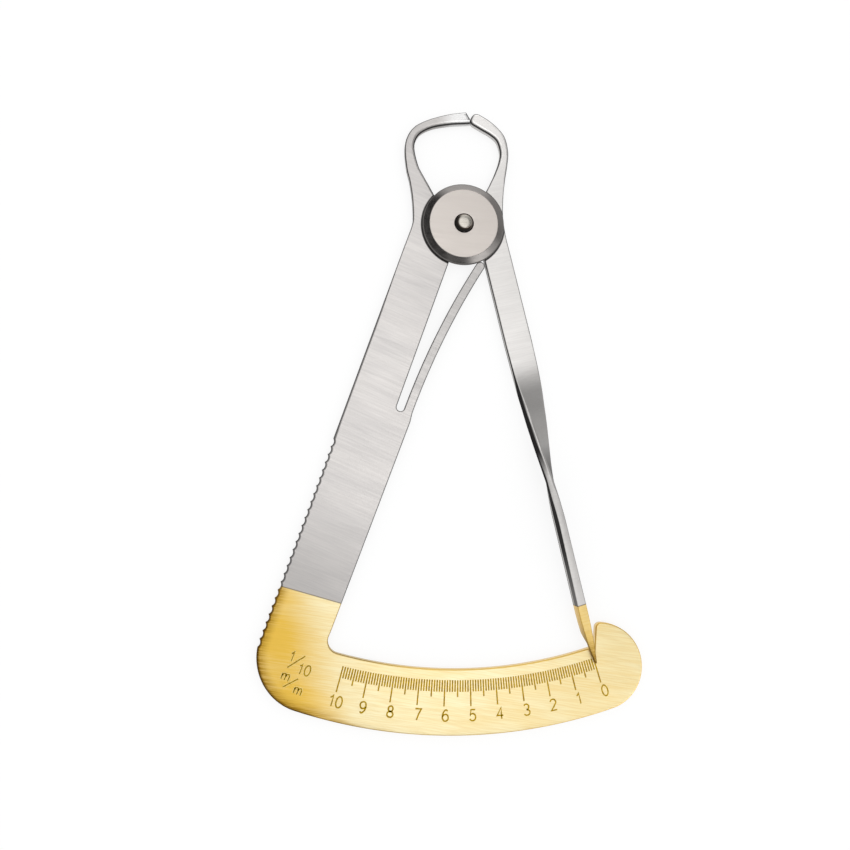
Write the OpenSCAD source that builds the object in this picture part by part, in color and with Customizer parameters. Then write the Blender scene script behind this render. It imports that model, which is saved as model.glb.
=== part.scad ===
// Dental spring caliper: two flat steel arms on one rivet.
// Squeezing the arms opens the jaws, a leaf of the scale arm closes them again,
// and the pointer shows the jaw opening on the scale, about four times enlarged.
// Origin: the pivot axis at the back of the plates. +Y points to the closed jaw tips, +Z to the front.

/* [Plates] */
// Thickness of the two arms
plate_t = 1.5; // [1.2:0.1:2]
// Lean of the handle from straight down, to the left
handle_lean = 15.5; // [13:0.5:17]
// Distance from the pivot to the outer edge of the handle
handle_out = 7.8; // [7.4:0.1:8.6]
// Distance from the pivot to the inner edge of the handle, where the leaf starts
handle_in = 2.83; // [2.7:0.02:2.9]
// The same distance at the scale
handle_in_low = 2.15; // [1.7:0.05:2.6]
// Distance from the pivot to the outer edge of the waist
waist_out = 8.25; // [7.9:0.05:8.6]

/* [Scale] */
// Radius of the inner edge of the scale
scale_r = 71.4; // [68:0.2:76]
// Radial width of the scale
scale_w = 10.15; // [9:0.05:12]
// Lean of the zero mark from straight down, to the right
zero_lean = 20.8; // [20:0.1:21.5]
// Radius of the outer corner under the handle
corner_r = 8.75; // [7:0.25:9.5]
// Radius of the inner corner under the handle
inner_corner_r = 2; // [1:0.25:3]
// Radius of the round ear past the zero mark
ear_r = 6.9; // [6.4:0.1:7.6]
// Angle from the zero mark to the middle of the ear
ear_past = 0.5; // [0:0.1:1.5]
// Distance from the middle of the ear to its wall
ear_wall = 1.05; // [0.6:0.05:1.2]
// Rounding of the ear's inner corner
ear_corner_r = 0.9; // [0.5:0.1:1.4]

/* [Grip teeth] */
// Distance along the handle from the pivot to the first tooth
teeth_from = 40; // [36:1:46]
// Spacing of the teeth
teeth_pitch = 1.32; // [1.1:0.02:1.6]
// Radius of the cutter between two teeth
teeth_cut_r = 0.9; // [0.85:0.05:1.2]

/* [Leaf spring] */
// Distance along the handle from the pivot to the leaf's root
leaf_root = 31.65; // [28:0.25:35]
// Width of the leaf
leaf_w = 1.45; // [1.3:0.05:1.55]
// Lean of the leaf at its root, to the right
leaf_lean = 16; // [15.5:0.1:16.8]
// Step from the handle's inner edge back to the leaf
leaf_step = 0.2; // [0.15:0.02:0.3]
// Distance along the pointer arm from the pivot to where the leaf presses
leaf_touch = 7.2; // [7:0.1:8.5]
// Gap between the leaf's tip and the pointer arm
leaf_gap = 0.24; // [0.2:0.02:0.3]
// Share of the leaf's length, from its root, at which it turns as it bends
leaf_flex = 0.04; // [0.03:0.01:0.06]
// Gap at the leaf's root
leaf_seat_gap = 0.05; // [0.03:0.01:0.1]

/* [Pointer arm] */
// Lean of the pointer arm from straight down, to the right
bar_lean = 17.85; // [17:0.25:18.5]
// Distance from the pivot to the middle line of the flat bar
bar_off = 4.34; // [4.3:0.02:4.5]
// Width of the flat bar
bar_w = 4.4; // [4.2:0.05:4.5]
// Distance along the bar from the pivot to the start of its taper
taper_from = 21; // [18:0.5:22]
// Length of the taper
taper_len = 24; // [20:0.5:28]
// Distance along the bar from the pivot to the start of the twist
twist_from = 24; // [22:0.5:26]
// Length of the quarter twist
twist_len = 27; // [24:0.5:30]
// Depth of the bar on edge, after the taper
blade_d = 3.5; // [3:0.1:4]
// Thickness of the bar on edge, after the twist
blade_t = 1.25; // [1.1:0.05:1.5]
// Shift of the bar on edge towards the handle
blade_shift = 0.68; // [0.4:0.02:0.8]
// Length of the pointer's nib
nib_len = 8.4; // [7:0.2:10]
// Depth of the bar on edge, where the nib starts
nib_d = 2.7; // [2.5:0.1:3.2]
// Thickness of the bar on edge, where the nib starts
nib_t = 1.5; // [1.2:0.05:1.6]
// Thickness of the nib's end
tip_t = 0.2; // [0.15:0.05:0.4]
// Depth of the nib's end
tip_d = 0.6; // [0.4:0.05:0.9]
// Clearance of the pointer's tip over the scale
tip_clear = 0.15; // [0.1:0.05:0.3]
// Overlap of the pointer's tip with the scale
tip_over = 2.4; // [1.5:0.1:3.5]

/* [Jaws] */
// Distance from the pivot to the jaw tips
jaw_reach = 18.3; // [17.5:0.1:20]
// Height of the jaws' roots above the pivot
jaw_root = 6.3; // [6:0.1:6.6]
// Bow of the left jaw, from the pivot to its middle line
bow_left = 9.6; // [9:0.1:10.5]
// Bow of the right jaw, from the pivot to its middle line
bow_right = 6; // [5.6:0.1:6.8]
// Width of the left jaw at its slimmest
jaw_w_left = 1.5; // [1.35:0.05:1.8]
// Width of the right jaw at its slimmest
jaw_w_right = 1.4; // [1.2:0.05:1.7]
// Width of the left jaw's tip
tip_w_left = 1.97; // [1.7:0.05:2.2]
// Width of the right jaw's round tip
tip_w_right = 2.2; // [1.9:0.05:2.4]
// Slope of the left jaw's end face
tip_slope = 15; // [8:1:20]
// Lean of the right jaw's round tip
bulb_lean = 24; // [18:1:30]
// Place of the left jaw's end face beside the pivot's middle line
tip_x = -0.25; // [-0.4:0.05:-0.2]
// Gap between the closed tips
tip_gap = 0.1; // [0.06:0.02:0.2]

/* [Pivot] */
// Radius of the two half-thick eyes
eye_r = 4.4; // [4:0.1:4.5]
// Room between an eye and the other arm's shoulder
shoulder_gap = 0.25; // [0.2:0.05:0.4]
// Room between the two eyes, and under the disc
lap_gap = 0.06; // [0.04:0.01:0.1]
// Radius of the disc
disc_r = 6.7; // [6:0.1:7.2]
// Radius of the disc's flat face
disc_face_r = 5.6; // [5:0.1:5.9]
// Thickness of the disc
disc_t = 1.1; // [0.9:0.05:1.5]
// Height of the disc's bevel
disc_bevel_h = 0.65; // [0.4:0.05:0.8]
// Radius of the rivet
rivet_r = 1.55; // [1.3:0.05:1.8]
// Radius of the rivet's sunk head at the back
rivet_head_r = 2.2; // [2:0.05:2.6]
// Depth of the sunk head
rivet_head_h = 0.5; // [0.3:0.05:0.55]
// Height of the rivet's closed end over the disc
rivet_end_h = 0.9; // [0.5:0.05:1.2]
// Radius of the flat on the rivet's closed end
rivet_end_r = 1.05; // [0.8:0.05:1.2]
// Play of the pointer arm on the rivet
pivot_play = 0.04; // [0.02:0.01:0.08]
// Room around the rivet in the pieces that it holds still
seat_gap = 0.02; // [0.01:0.01:0.04]

/* [Hidden] */
$fn = 96;

past = 1;
scale_out_r = scale_r + scale_w;
lap_z = (plate_t - lap_gap) / 2;
disc_z = plate_t + lap_gap;
bar_in = bar_off - bar_w / 2;
bar_out = bar_off + bar_w / 2;
// Distances along the bar to the pointer's tip, and to where it clears the scale's inner edge
tip_s = sqrt(pow(scale_r + tip_over, 2) - pow(bar_off, 2));
clear_s = sqrt(pow(scale_r - past, 2) - pow(bar_off, 2));

// Points of the handle's and the pointer arm's own frames, in the part's frame
function turn(p, a) = [p[0] * cos(a) - p[1] * sin(a), p[0] * sin(a) + p[1] * cos(a)];
function on_handle(n, s) = turn([n, -s], -handle_lean);
function on_bar(n, s) = turn([n, -s], bar_lean);
function mix(a, b, t) = a + (b - a) * t;
function smooth(t) = t * t * (3 - 2 * t);
function clamp01(t) = min(max(t, 0), 1);
function polar(r, lean) = [r * sin(lean), -r * cos(lean)];

// The leaf is an arc from its root to its tip, which lies beside the pointer arm
leaf_a = on_handle(handle_in - leaf_step - leaf_w / 2, leaf_root);
leaf_b = on_bar(bar_in - leaf_gap - leaf_w / 2, leaf_touch);
leaf_chord = norm(leaf_b - leaf_a);
leaf_chord_lean = atan2(leaf_b[0] - leaf_a[0], leaf_b[1] - leaf_a[1]);
leaf_sweep = 2 * (leaf_chord_lean - leaf_lean);
leaf_r = leaf_chord / 2 / sin(leaf_sweep / 2);
leaf_c = leaf_a + leaf_r * [cos(leaf_lean), -sin(leaf_lean)];
function on_leaf(t) = let (a = leaf_lean + t * leaf_sweep) leaf_c + leaf_r * [-cos(a), sin(a)];
leaf_p = on_leaf(leaf_flex);
leaf_root_r = norm(leaf_p - leaf_a);

// The slot beside the leaf's root
slot_in = 0.12;
slot_r = (handle_in - leaf_step - leaf_w + slot_in) / 2;
slot_n = slot_r - slot_in;

// Ring of points of a rounded rectangle: half sizes a and b, squareness q
section_n = 16;
function edge(v, q) = sign(v) * pow(abs(v), 2 / q);
function ring(a, b, q) = [for (i = [0 : section_n - 1])
    let (w = 360 * (i + 0.5) / section_n) [a * edge(cos(w), q), b * edge(sin(w), q)]];

// Smooth curve through the points of a list, at u from 0 to its last index
function at(list, i) = list[min(max(i, 0), len(list) - 1)];
function spline(list, u) =
    let (i = min(floor(u), len(list) - 2), t = u - i,
         p0 = at(list, i - 1), p1 = at(list, i), p2 = at(list, i + 1), p3 = at(list, i + 2))
    p1 + t / 2 * (p2 - p0 + t * (2 * p0 - 5 * p1 + 4 * p2 - p3 + t * (3 * (p1 - p2) + p3 - p0)));

// Solid skin over rings of points
module loft(rings) {
    n = len(rings[0]);
    m = len(rings);
    sides = [for (j = [0 : m - 2], i = [0 : n - 1]) each [
        [j * n + i, (j + 1) * n + (i + 1) % n, (j + 1) * n + i],
        [j * n + i, j * n + (i + 1) % n, (j + 1) * n + (i + 1) % n]]];
    first = [for (i = [n - 1 : -1 : 0]) i];
    last = [for (i = [0 : n - 1]) (m - 1) * n + i];
    polyhedron([for (r = rings) each r], concat(sides, [first, last]));
}

// Jaw along stations of [x, y, width, thickness, squareness]
jaw_steps = 4;
function heading(list, u) =
    let (d = spline(list, min(u + 0.02, len(list) - 1)) - spline(list, max(u - 0.02, 0)),
         v = [d[0], d[1]])
    v / norm(v);
function jaw_rings(list) = [for (k = [0 : (len(list) - 1) * jaw_steps])
    let (u = k / jaw_steps, c = spline(list, u), h = heading(list, u))
    [for (p = ring(c[2] / 2, c[3] / 2, c[4]))
        [c[0] + h[1] * p[0], c[1] - h[0] * p[0], plate_t / 2 + p[1]]]];

root_inset = 0.04;
root_t = plate_t - root_inset;
left_jaw = [
    [-bow_left + 2.4, jaw_root - 1.6, 3.0, root_t, 9],
    [-bow_left + 1.78, jaw_root + 0.1, 2.6, root_t, 8],
    [-bow_left + 0.82, jaw_root + 2.1, 2.1, plate_t, 5],
    [-bow_left + 0.02, jaw_reach - 6.9, jaw_w_left + 0.15, plate_t, 3.5],
    [-bow_left + 0.05, jaw_reach - 4.9, jaw_w_left, plate_t, 3],
    [-bow_left + 1, jaw_reach - 3.15, jaw_w_left, plate_t, 2.8],
    [-bow_left + 3.1, jaw_reach - 1.8, jaw_w_left, plate_t, 2.6],
    [-3.6, jaw_reach - 0.8, jaw_w_left + 0.28, plate_t, 2.6],
    [-1.2, jaw_reach - 0.28, tip_w_left, plate_t, 2.6],
    [1.2, jaw_reach + 0.12, tip_w_left, plate_t, 2.6]];
bulb_r = tip_w_right / 2;
bulb_len = 0.8 * bulb_r;
bulb_c = [bulb_len + tip_gap / 2, jaw_reach - 0.25];
bulb_way = [-cos(bulb_lean), sin(bulb_lean)];
right_jaw = [
    [bow_right - 1.2, jaw_root - 1.6, 2.7, root_t, 9],
    [bow_right - 0.93, jaw_root + 0.2, 2.55, root_t, 8],
    [bow_right - 0.48, jaw_root + 2.4, 1.95, plate_t, 5],
    [bow_right - 0.05, jaw_reach - 7.2, jaw_w_right + 0.1, plate_t, 3.5],
    [bow_right, jaw_reach - 5.2, jaw_w_right, plate_t, 3],
    [bow_right - 0.73, jaw_reach - 3.05, jaw_w_right + 0.2, plate_t, 2.8],
    [bow_right - 2.05, jaw_reach - 1.82, jaw_w_right + 0.5, plate_t, 2.6],
    [bulb_c[0] + 1.5, bulb_c[1] - 0.7, tip_w_right, plate_t, 2.5],
    [bulb_c[0], bulb_c[1], tip_w_right, plate_t, 2.4]];
bulb_steps = 5;
bulb_rings = [for (k = [1 : bulb_steps])
    let (w = 84 * k / bulb_steps, c = bulb_c + bulb_len * sin(w) * bulb_way, f = pow(cos(w), 0.75))
    [for (p = ring(bulb_r * f, plate_t / 2 * f, 2.4))
        [c[0] + bulb_way[1] * p[0], c[1] - bulb_way[0] * p[0], plate_t / 2 + p[1]]]];

// Outline of the scale arm: handle, waist, scale and ear
corner_s = sqrt(pow(scale_out_r - corner_r, 2) - pow(corner_r - handle_out, 2));
ear_c = polar(scale_out_r - ear_r, zero_lean + ear_past);
ear_x = ear_c[0] - ear_wall;
ear_top_y = ear_c[1] + sqrt(pow(ear_r - ear_corner_r, 2) - pow(ear_corner_r - ear_wall, 2));
handle_top = 5;
edge_steps = 6;
function along(list) = [for (k = [0 : (len(list) - 1) * edge_steps]) spline(list, k / edge_steps)];

module handle_plan() {
    rotate(-handle_lean) {
        polygon([[-handle_out, -handle_top], [-slot_in, -handle_top], [-slot_in, -leaf_root],
                 [handle_in, -leaf_root], [handle_in_low, -scale_r], [handle_in_low, -corner_s],
                 [-handle_out, -corner_s]]);
        intersection() {
            translate([corner_r - handle_out, -corner_s]) circle(corner_r);
            translate([-handle_out, -corner_s - corner_r]) square([2 * corner_r, corner_r]);
        }
    }
}

module waist_plan() {
    outer = along([on_handle(-handle_out, handle_top + 2), on_handle(-handle_out, 3), [-waist_out, 0.9],
                   [-waist_out - 0.37, jaw_root - 2.5], [-bow_left + 0.42, jaw_root],
                   [-bow_left + 0.1, jaw_root + past]]);
    polygon(concat(outer, [[-bow_left + 2.8, jaw_root + past], [-bow_left + 5.2, jaw_root - 2.7],
                           [0, eye_r - past], on_handle(-slot_in, handle_top + past)]));
    circle(eye_r);
}

module sector_plan() {
    far = scale_out_r * 1.3;
    intersection() {
        difference() {
            circle(scale_out_r, $fn = 240);
            circle(scale_r, $fn = 240);
        }
        polygon([[0, 0], polar(far, -handle_lean), polar(far, 0), polar(far, zero_lean)]);
    }
}

module ear_plan() {
    top = [ear_x + ear_corner_r, ear_top_y];
    way = (top - ear_c) / norm(top - ear_c);
    difference() {
        intersection() {
            translate(ear_c) circle(ear_r);
            translate([ear_x, ear_c[1] - ear_r - past]) square(2 * ear_r + 2 * past);
        }
        difference() {
            polygon([top, top + [-ear_corner_r, 0], top + [-ear_corner_r, 2 * ear_corner_r],
                     top + way * 2 * ear_corner_r]);
            translate(top) circle(ear_corner_r);
        }
    }
}

module inner_corner_plan() {
    side = handle_in_low + inner_corner_r;
    reach = scale_r - inner_corner_r;
    s = sqrt(reach * reach - side * side);
    difference() {
        polygon([on_handle(handle_in_low - past, s), on_handle(side, s),
                 polar(scale_r + past, -handle_lean + asin(side / reach)),
                 on_handle(handle_in_low - past, s + 2 * inner_corner_r)]);
        translate(on_handle(side, s)) circle(inner_corner_r);
    }
}

module grip_teeth() {
    sink = sqrt(pow(teeth_cut_r, 2) - pow(teeth_pitch / 2, 2));
    count = floor((corner_s - teeth_from) / teeth_pitch);
    rotate(-handle_lean)
        for (i = [0 : count - 1])
            translate([-handle_out - sink, -teeth_from - (i + 0.5) * teeth_pitch]) circle(teeth_cut_r);
}

module scale_arm_plan() {
    difference() {
        union() {
            handle_plan();
            waist_plan();
            sector_plan();
            ear_plan();
            inner_corner_plan();
        }
        grip_teeth();
        rotate(-handle_lean) {
            translate([slot_n, -leaf_root]) circle(slot_r);
            intersection() {
                translate(turn(leaf_p, handle_lean)) circle(leaf_root_r + leaf_seat_gap);
                translate([slot_n, -leaf_root - leaf_w]) square([3 * leaf_w, 2 * leaf_w]);
            }
        }
    }
}

module rivet_hole(gap) {
    translate([0, 0, -past]) cylinder(h = plate_t + 2 * past, r = rivet_r + gap);
}

module scale_arm() {
    color("silver") difference() {
        union() {
            difference() {
                linear_extrude(plate_t) scale_arm_plan();
                translate([0, 0, lap_z]) cylinder(h = plate_t, r = eye_r + shoulder_gap);
            }
            loft(jaw_rings(left_jaw));
        }
        rivet_hole(seat_gap);
        rivet_head(seat_gap);
        translate([tip_x - tip_gap / 2, jaw_reach, -past]) rotate(tip_slope)
            translate([0, -2 * tip_w_left, 0]) cube([4 * tip_w_left, 4 * tip_w_left, plate_t + 2 * past]);
    }
}

module leaf_plan() {
    wide = 4 * leaf_w;
    intersection() {
        translate(leaf_c) difference() {
            circle(leaf_r + leaf_w / 2, $fn = 720);
            circle(leaf_r - leaf_w / 2, $fn = 720);
        }
        union() {
            intersection() {
                translate(leaf_p) circle(leaf_root_r);
                translate(leaf_p) rotate(-leaf_lean)
                    translate([-wide, -wide]) square([2 * wide, wide + past]);
            }
            polygon([leaf_p + turn([-wide, 0], -leaf_lean), leaf_p + turn([wide, 0], -leaf_lean),
                     leaf_b + turn([wide, 0], -leaf_lean - leaf_sweep),
                     leaf_b + turn([-wide, 0], -leaf_lean - leaf_sweep)]);
        }
    }
    translate(leaf_b) circle(leaf_w / 2);
}

module leaf_spring() {
    color("gainsboro") linear_extrude(plate_t) leaf_plan();
}

// The bar from its twist to its tip: [across, depth, thickness, twist, bottom] at a distance s along it
nib_s = tip_s - nib_len;
shift_len = 20;
tip_bend = 0.15;
rise_len = 1.2;
function bar_width(s) = mix(bar_w, blade_d, clamp01((s - taper_from) / taper_len));
function bar_line(s) = bar_off - blade_shift * smooth(clamp01((s - twist_from) / shift_len));
function blade_at(s) =
    let (t = smooth(clamp01((s - twist_from) / twist_len)),
         on_edge = clamp01((s - twist_from - twist_len) / (nib_s - twist_from - twist_len)),
         nib = clamp01((s - nib_s) / nib_len),
         low = (plate_t + tip_clear) * clamp01((s - clear_s + rise_len) / rise_len),
         high = mix(nib_d, plate_t + tip_clear + tip_d, nib),
         bar_d = mix(bar_width(s) - root_inset, nib_d, on_edge),
         bar_t = mix(mix(root_t, blade_t, t), nib_t, on_edge))
    [bar_line(s) + tip_bend * nib * nib, nib > 0 ? high - low : bar_d,
     mix(bar_t, tip_t, pow(nib, 1.5)), 90 * t, low];
function blade_ring(s) =
    let (b = blade_at(s), c = cos(b[3]), d = sin(b[3]),
         mid = b[4] + b[1] / 2 * d + (b[2] + root_inset) / 2 * c)
    [for (p = ring(b[1] / 2, b[2] / 2, 9))
        let (f = on_bar(b[0] + p[0] * c + p[1] * d, s)) [f[0], f[1], mid - p[0] * d + p[1] * c]];
blade_steps = 48;
blade_start = twist_from - 3;

module pointer_plan() {
    end_w = bar_width(twist_from);
    outer = along([on_bar(bar_out, handle_top + 2), on_bar(bar_out, 3), [bow_right + 0.53, 2.2],
                   [bow_right + 0.38, 4.4], [bow_right + 0.36, jaw_root],
                   [bow_right + 0.4, jaw_root + past]]);
    rotate(bar_lean)
        polygon([[bar_in, 0], [bar_out, -handle_top], [bar_out, -taper_from],
                 [bar_off + end_w / 2, -twist_from], [bar_off - end_w / 2, -twist_from],
                 [bar_in, -taper_from]]);
    polygon(concat(outer, [[bow_right - 1.9, jaw_root + past], [bow_right - 3.6, jaw_root - 2.3],
                           [0, eye_r - past], on_bar(bar_in, 0)]));
    circle(eye_r);
}

module pointer_arm() {
    color("silver") difference() {
        union() {
            difference() {
                linear_extrude(plate_t) pointer_plan();
                translate([0, 0, lap_z + lap_gap - plate_t])
                    cylinder(h = plate_t, r = eye_r + shoulder_gap);
            }
            loft(concat(jaw_rings(right_jaw), bulb_rings));
            loft([for (k = [0 : blade_steps]) blade_ring(mix(tip_s, blade_start, k / blade_steps))]);
        }
        rivet_hole(pivot_play);
    }
}

module pivot_disc() {
    color("dimgray") translate([0, 0, disc_z]) rotate_extrude()
        polygon([[rivet_r + seat_gap, 0], [disc_r, 0], [disc_r, disc_t - disc_bevel_h],
                 [disc_face_r, disc_t], [rivet_r + seat_gap, disc_t]]);
}

module rivet_head(gap) {
    rotate_extrude() polygon([[0, -gap], [rivet_head_r + gap, -gap], [rivet_head_r + gap, 0],
                              [rivet_r + gap, rivet_head_h], [0, rivet_head_h]]);
}

module pivot_rivet() {
    top = disc_z + disc_t;
    color("gray") {
        rivet_head(0);
        cylinder(h = top, r = rivet_r);
        translate([0, 0, top]) cylinder(h = rivet_end_h, r1 = rivet_r, r2 = rivet_end_r);
    }
}

scale_arm();
leaf_spring();
pointer_arm();
pivot_disc();
pivot_rivet();
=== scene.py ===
"""Looks of a dental spring caliper: two steel arms on one rivet, with a gold-plated arc scale.

Sizes are in millimetres in the part's own frame: the pivot axis at the back of the plates is the
origin, +Y points to the closed jaw tips and +Z to the front. Meshes are made in metres.
"""
import logging
import math
from collections.abc import Callable, Sequence
from dataclasses import dataclass, field, replace
from enum import Enum
from typing import Any

import bmesh
import bpy
from mathutils import Matrix, Vector


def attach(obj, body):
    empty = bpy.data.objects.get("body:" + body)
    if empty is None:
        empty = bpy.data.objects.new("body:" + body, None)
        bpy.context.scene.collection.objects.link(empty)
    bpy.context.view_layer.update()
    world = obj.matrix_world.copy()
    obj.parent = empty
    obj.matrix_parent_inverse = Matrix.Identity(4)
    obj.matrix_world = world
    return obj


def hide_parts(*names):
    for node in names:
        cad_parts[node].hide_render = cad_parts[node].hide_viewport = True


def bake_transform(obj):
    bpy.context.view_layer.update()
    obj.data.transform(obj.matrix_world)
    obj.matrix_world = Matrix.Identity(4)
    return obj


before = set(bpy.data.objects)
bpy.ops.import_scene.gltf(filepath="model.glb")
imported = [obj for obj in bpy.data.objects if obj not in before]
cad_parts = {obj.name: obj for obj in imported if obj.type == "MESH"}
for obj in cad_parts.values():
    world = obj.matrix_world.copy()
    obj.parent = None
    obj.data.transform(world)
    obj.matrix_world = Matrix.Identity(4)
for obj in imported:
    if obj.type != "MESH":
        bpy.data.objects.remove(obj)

LOG = logging.getLogger("caliper")
MM = 0.001

Point = tuple[float, float]
Place = tuple[float, float, float]
Color = tuple[float, float, float]
Piece = bpy.types.Object
Material = bpy.types.Material
Socket = bpy.types.NodeSocket
Tree = bpy.types.NodeTree
Outputs = bpy.types.NodeOutputs
Feeds = dict[str | int, Any]

# Sizes that more than one piece uses.
PLATE_T = 1.5
EDGE_ROUND = 0.16
HANDLE_LEAN = 15.5
HANDLE_IN = 2.83
BAR_LEAN = 17.85
SCALE_R = 71.4
JAW_ROOT = 6.3
JAW_REACH = 18.3
EYE_R = 4.4
POCKET_R = 4.65
LAP_Z = 0.72
LAP_GAP = 0.06

# Flat border beside a rounded edge, its largest share of the rounding, the distance that shapes keep
# inside the solids, steps of a rounding, its largest share of the plate, the longest mitre, the angle
# from which an edge stays sharp, how far cutters go past the plates, and the steps round them.
HOLD = 0.03
HOLD_SHARE = 0.3
SKIN = 0.003
ROUND_STEPS = 4
RISE_SHARE = 0.48
MITRE_LIMIT = 2.2
SHARP_ANGLE = 38
PAST_FRONT = 3
PAST_BACK = -1
POCKET_SEGMENTS = 96
HOLE_SEGMENTS = 64


class Body(Enum):
    """The bodies that pieces ride on."""

    SCALE = "scale_body"
    POINTER = "pointer_body"
    LEAF = "leaf_body"


class Plating(Enum):
    """Where a steel piece is gold plated."""

    NONE = "none"
    SCALE = "scale"
    NIB = "nib"


def turned(point: Point, degrees: float) -> Point:
    """Point turned about the pivot."""
    c, s = math.cos(math.radians(degrees)), math.sin(math.radians(degrees))
    return (point[0] * c - point[1] * s, point[0] * s + point[1] * c)


def on_handle(n: float, s: float) -> Point:
    """Point n to the right of the handle's middle line, s along it from the pivot."""
    return turned((n, -s), -HANDLE_LEAN)


def on_bar(n: float, s: float) -> Point:
    """Point n to the right of the pointer arm's line through the pivot, s along it."""
    return turned((n, -s), BAR_LEAN)


def polar(radius: float, lean: float) -> Point:
    """Point at a radius from the pivot, at a lean to the right of straight down."""
    return turned((0, -radius), lean)


def pivot_arc(radius: float, first: float, last: float, count: int) -> list[Point]:
    """Points on an arc about the pivot, between two leans."""
    return [polar(radius, mix(first, last, k / count)) for k in range(count + 1)]


def mix(a: float, b: float, share: float) -> float:
    """Value between a and b."""
    return a + (b - a) * share


def clamp01(value: float) -> float:
    """Value kept between 0 and 1."""
    return min(max(value, 0.0), 1.0)


def smooth(value: float) -> float:
    """Soft step from 0 to 1."""
    t = clamp01(value)
    return t * t * (3 - 2 * t)


@dataclass(frozen=True)
class Ramp:
    """A soft step of a value.

    Attributes:
        low: Where the step starts.
        high: Where it ends.
        start: Result up to its start.
        end: Result from its end on.
    """

    low: float
    high: float
    start: float = 0.0
    end: float = 1.0

    def at(self, value: float) -> float:
        """Result of the step for a value."""
        return mix(self.start, self.end, smooth((value - self.low) / (self.high - self.low)))


def arc(centre: Point, radius: float, start: float, end: float, count: int) -> list[Point]:
    """Points on an arc.

    Args:
        centre: Middle of the arc.
        radius: Radius of the arc.
        start: First angle from +X, in degrees.
        end: Last angle, above start for an anticlockwise arc.
        count: Number of steps.

    Returns:
        One point more than there are steps.
    """
    angles = [math.radians(mix(start, end, k / count)) for k in range(count + 1)]
    return [(centre[0] + radius * math.cos(a), centre[1] + radius * math.sin(a)) for a in angles]


def spline(stations: Sequence[Sequence[float]], u: float) -> list[float]:
    """Smooth curve through stations.

    Args:
        stations: Rows of numbers that the curve passes through.
        u: Place on the curve, from 0 to the last row's index.

    Returns:
        One row of numbers.
    """
    last = len(stations) - 1
    i = min(int(u), last - 1)
    t = u - i
    p0, p1, p2, p3 = (stations[min(max(i + k, 0), last)] for k in (-1, 0, 1, 2))
    return [b + t / 2 * (c - a + t * (2 * a - 5 * b + 4 * c - d + t * (3 * (b - c) + d - a)))
            for a, b, c, d in zip(p0, p1, p2, p3)]


def along(stations: Sequence[Sequence[float]], steps: int) -> list[Point]:
    """Points of a smooth curve through plan points."""
    count = (len(stations) - 1) * steps
    return [tuple(spline(stations, k / steps)[:2]) for k in range(count + 1)]


@dataclass
class EdgePoint:
    """One point of a plate's outline.

    Attributes:
        at: Place of the plate's wall.
        round: Radius of the plate's rounded edge.
        inner: Where the rounding meets the flat face, if not straight inside the wall.
        rise: Height of the rounding, if not its radius.
    """

    at: Point
    round: float = EDGE_ROUND
    inner: Point | None = None
    rise: float | None = None


def plain_edge(points: Sequence[Point], radius: float = EDGE_ROUND) -> list[EdgePoint]:
    """Edge points with one rounding radius."""
    return [EdgePoint(p, radius) for p in points]


def find_inner(edge: list[EdgePoint], closed: bool) -> None:
    """Works out where each rounding meets the flat face.

    Args:
        edge: Outline, anticlockwise. Points that have their inner place already keep it.
        closed: Whether the last point joins the first.
    """
    count = len(edge)
    for i, point in enumerate(edge):
        if point.inner is not None:
            continue
        before = Vector(edge[i - 1].at) if closed or i else None
        after = Vector(edge[(i + 1) % count].at) if closed or i + 1 < count else None
        here = Vector(point.at)
        ways = []
        if before is not None:
            ways.append((here - before).normalized())
        if after is not None:
            ways.append((after - here).normalized())
        normals = [Vector((-w.y, w.x)) for w in ways]
        way = sum(normals, Vector((0, 0))).normalized()
        reach = 1 / max(way.dot(normals[0]), 1 / MITRE_LIMIT)
        point.inner = tuple(here + way * point.round * reach)


@dataclass
class Shell:
    """Points and faces of a mesh, with a mask of the painted shade on its side walls."""

    points: list[Place] = field(default_factory=list)
    faces: list[tuple[int, ...]] = field(default_factory=list)
    walls: list[float] = field(default_factory=list)

    def add(self, place: Place, wall: float = 0.0) -> int:
        """Adds a point.

        Args:
            place: Place of the point.
            wall: Its wall mask.

        Returns:
            The point's index.
        """
        self.points.append(place)
        self.walls.append(wall)
        return len(self.points) - 1

    def add_strip(self, first: Sequence[int], second: Sequence[int], closed: bool) -> None:
        """Joins two rows of points with quads.

        Args:
            first: Indices of the lower row.
            second: Indices of the upper row.
            closed: Whether the rows are rings.
        """
        count = len(first)
        for i in range(count if closed else count - 1):
            k = (i + 1) % count
            self.faces.append((first[i], first[k], second[k], second[i]))

    def build(self, name: str) -> Piece:
        """Makes the object in metres.

        Args:
            name: Name of the piece.

        Returns:
            An object at the origin, with outward faces and a "wall" mask.
        """
        mesh = bpy.data.meshes.new(name)
        mesh.from_pydata([Vector(p) * MM for p in self.points], [], self.faces)
        mask = mesh.attributes.new("wall", "FLOAT", "POINT")
        mask.data.foreach_set("value", self.walls)
        work = bmesh.new()
        work.from_mesh(mesh)
        bmesh.ops.recalc_face_normals(work, faces=work.faces)
        work.to_mesh(mesh)
        work.free()
        made = bpy.data.objects.new(name, mesh)
        bpy.context.scene.collection.objects.link(made)
        return made


def rounding() -> list[tuple[float, float, float]]:
    """Steps of a rounded edge from the flat face to the wall: inset share, height share, wall mask."""
    angles = [math.pi / 2 * k / ROUND_STEPS for k in range(ROUND_STEPS + 1)]
    return [(1 - math.sin(a), 1 - math.cos(a), math.sin(a)) for a in angles]


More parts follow.
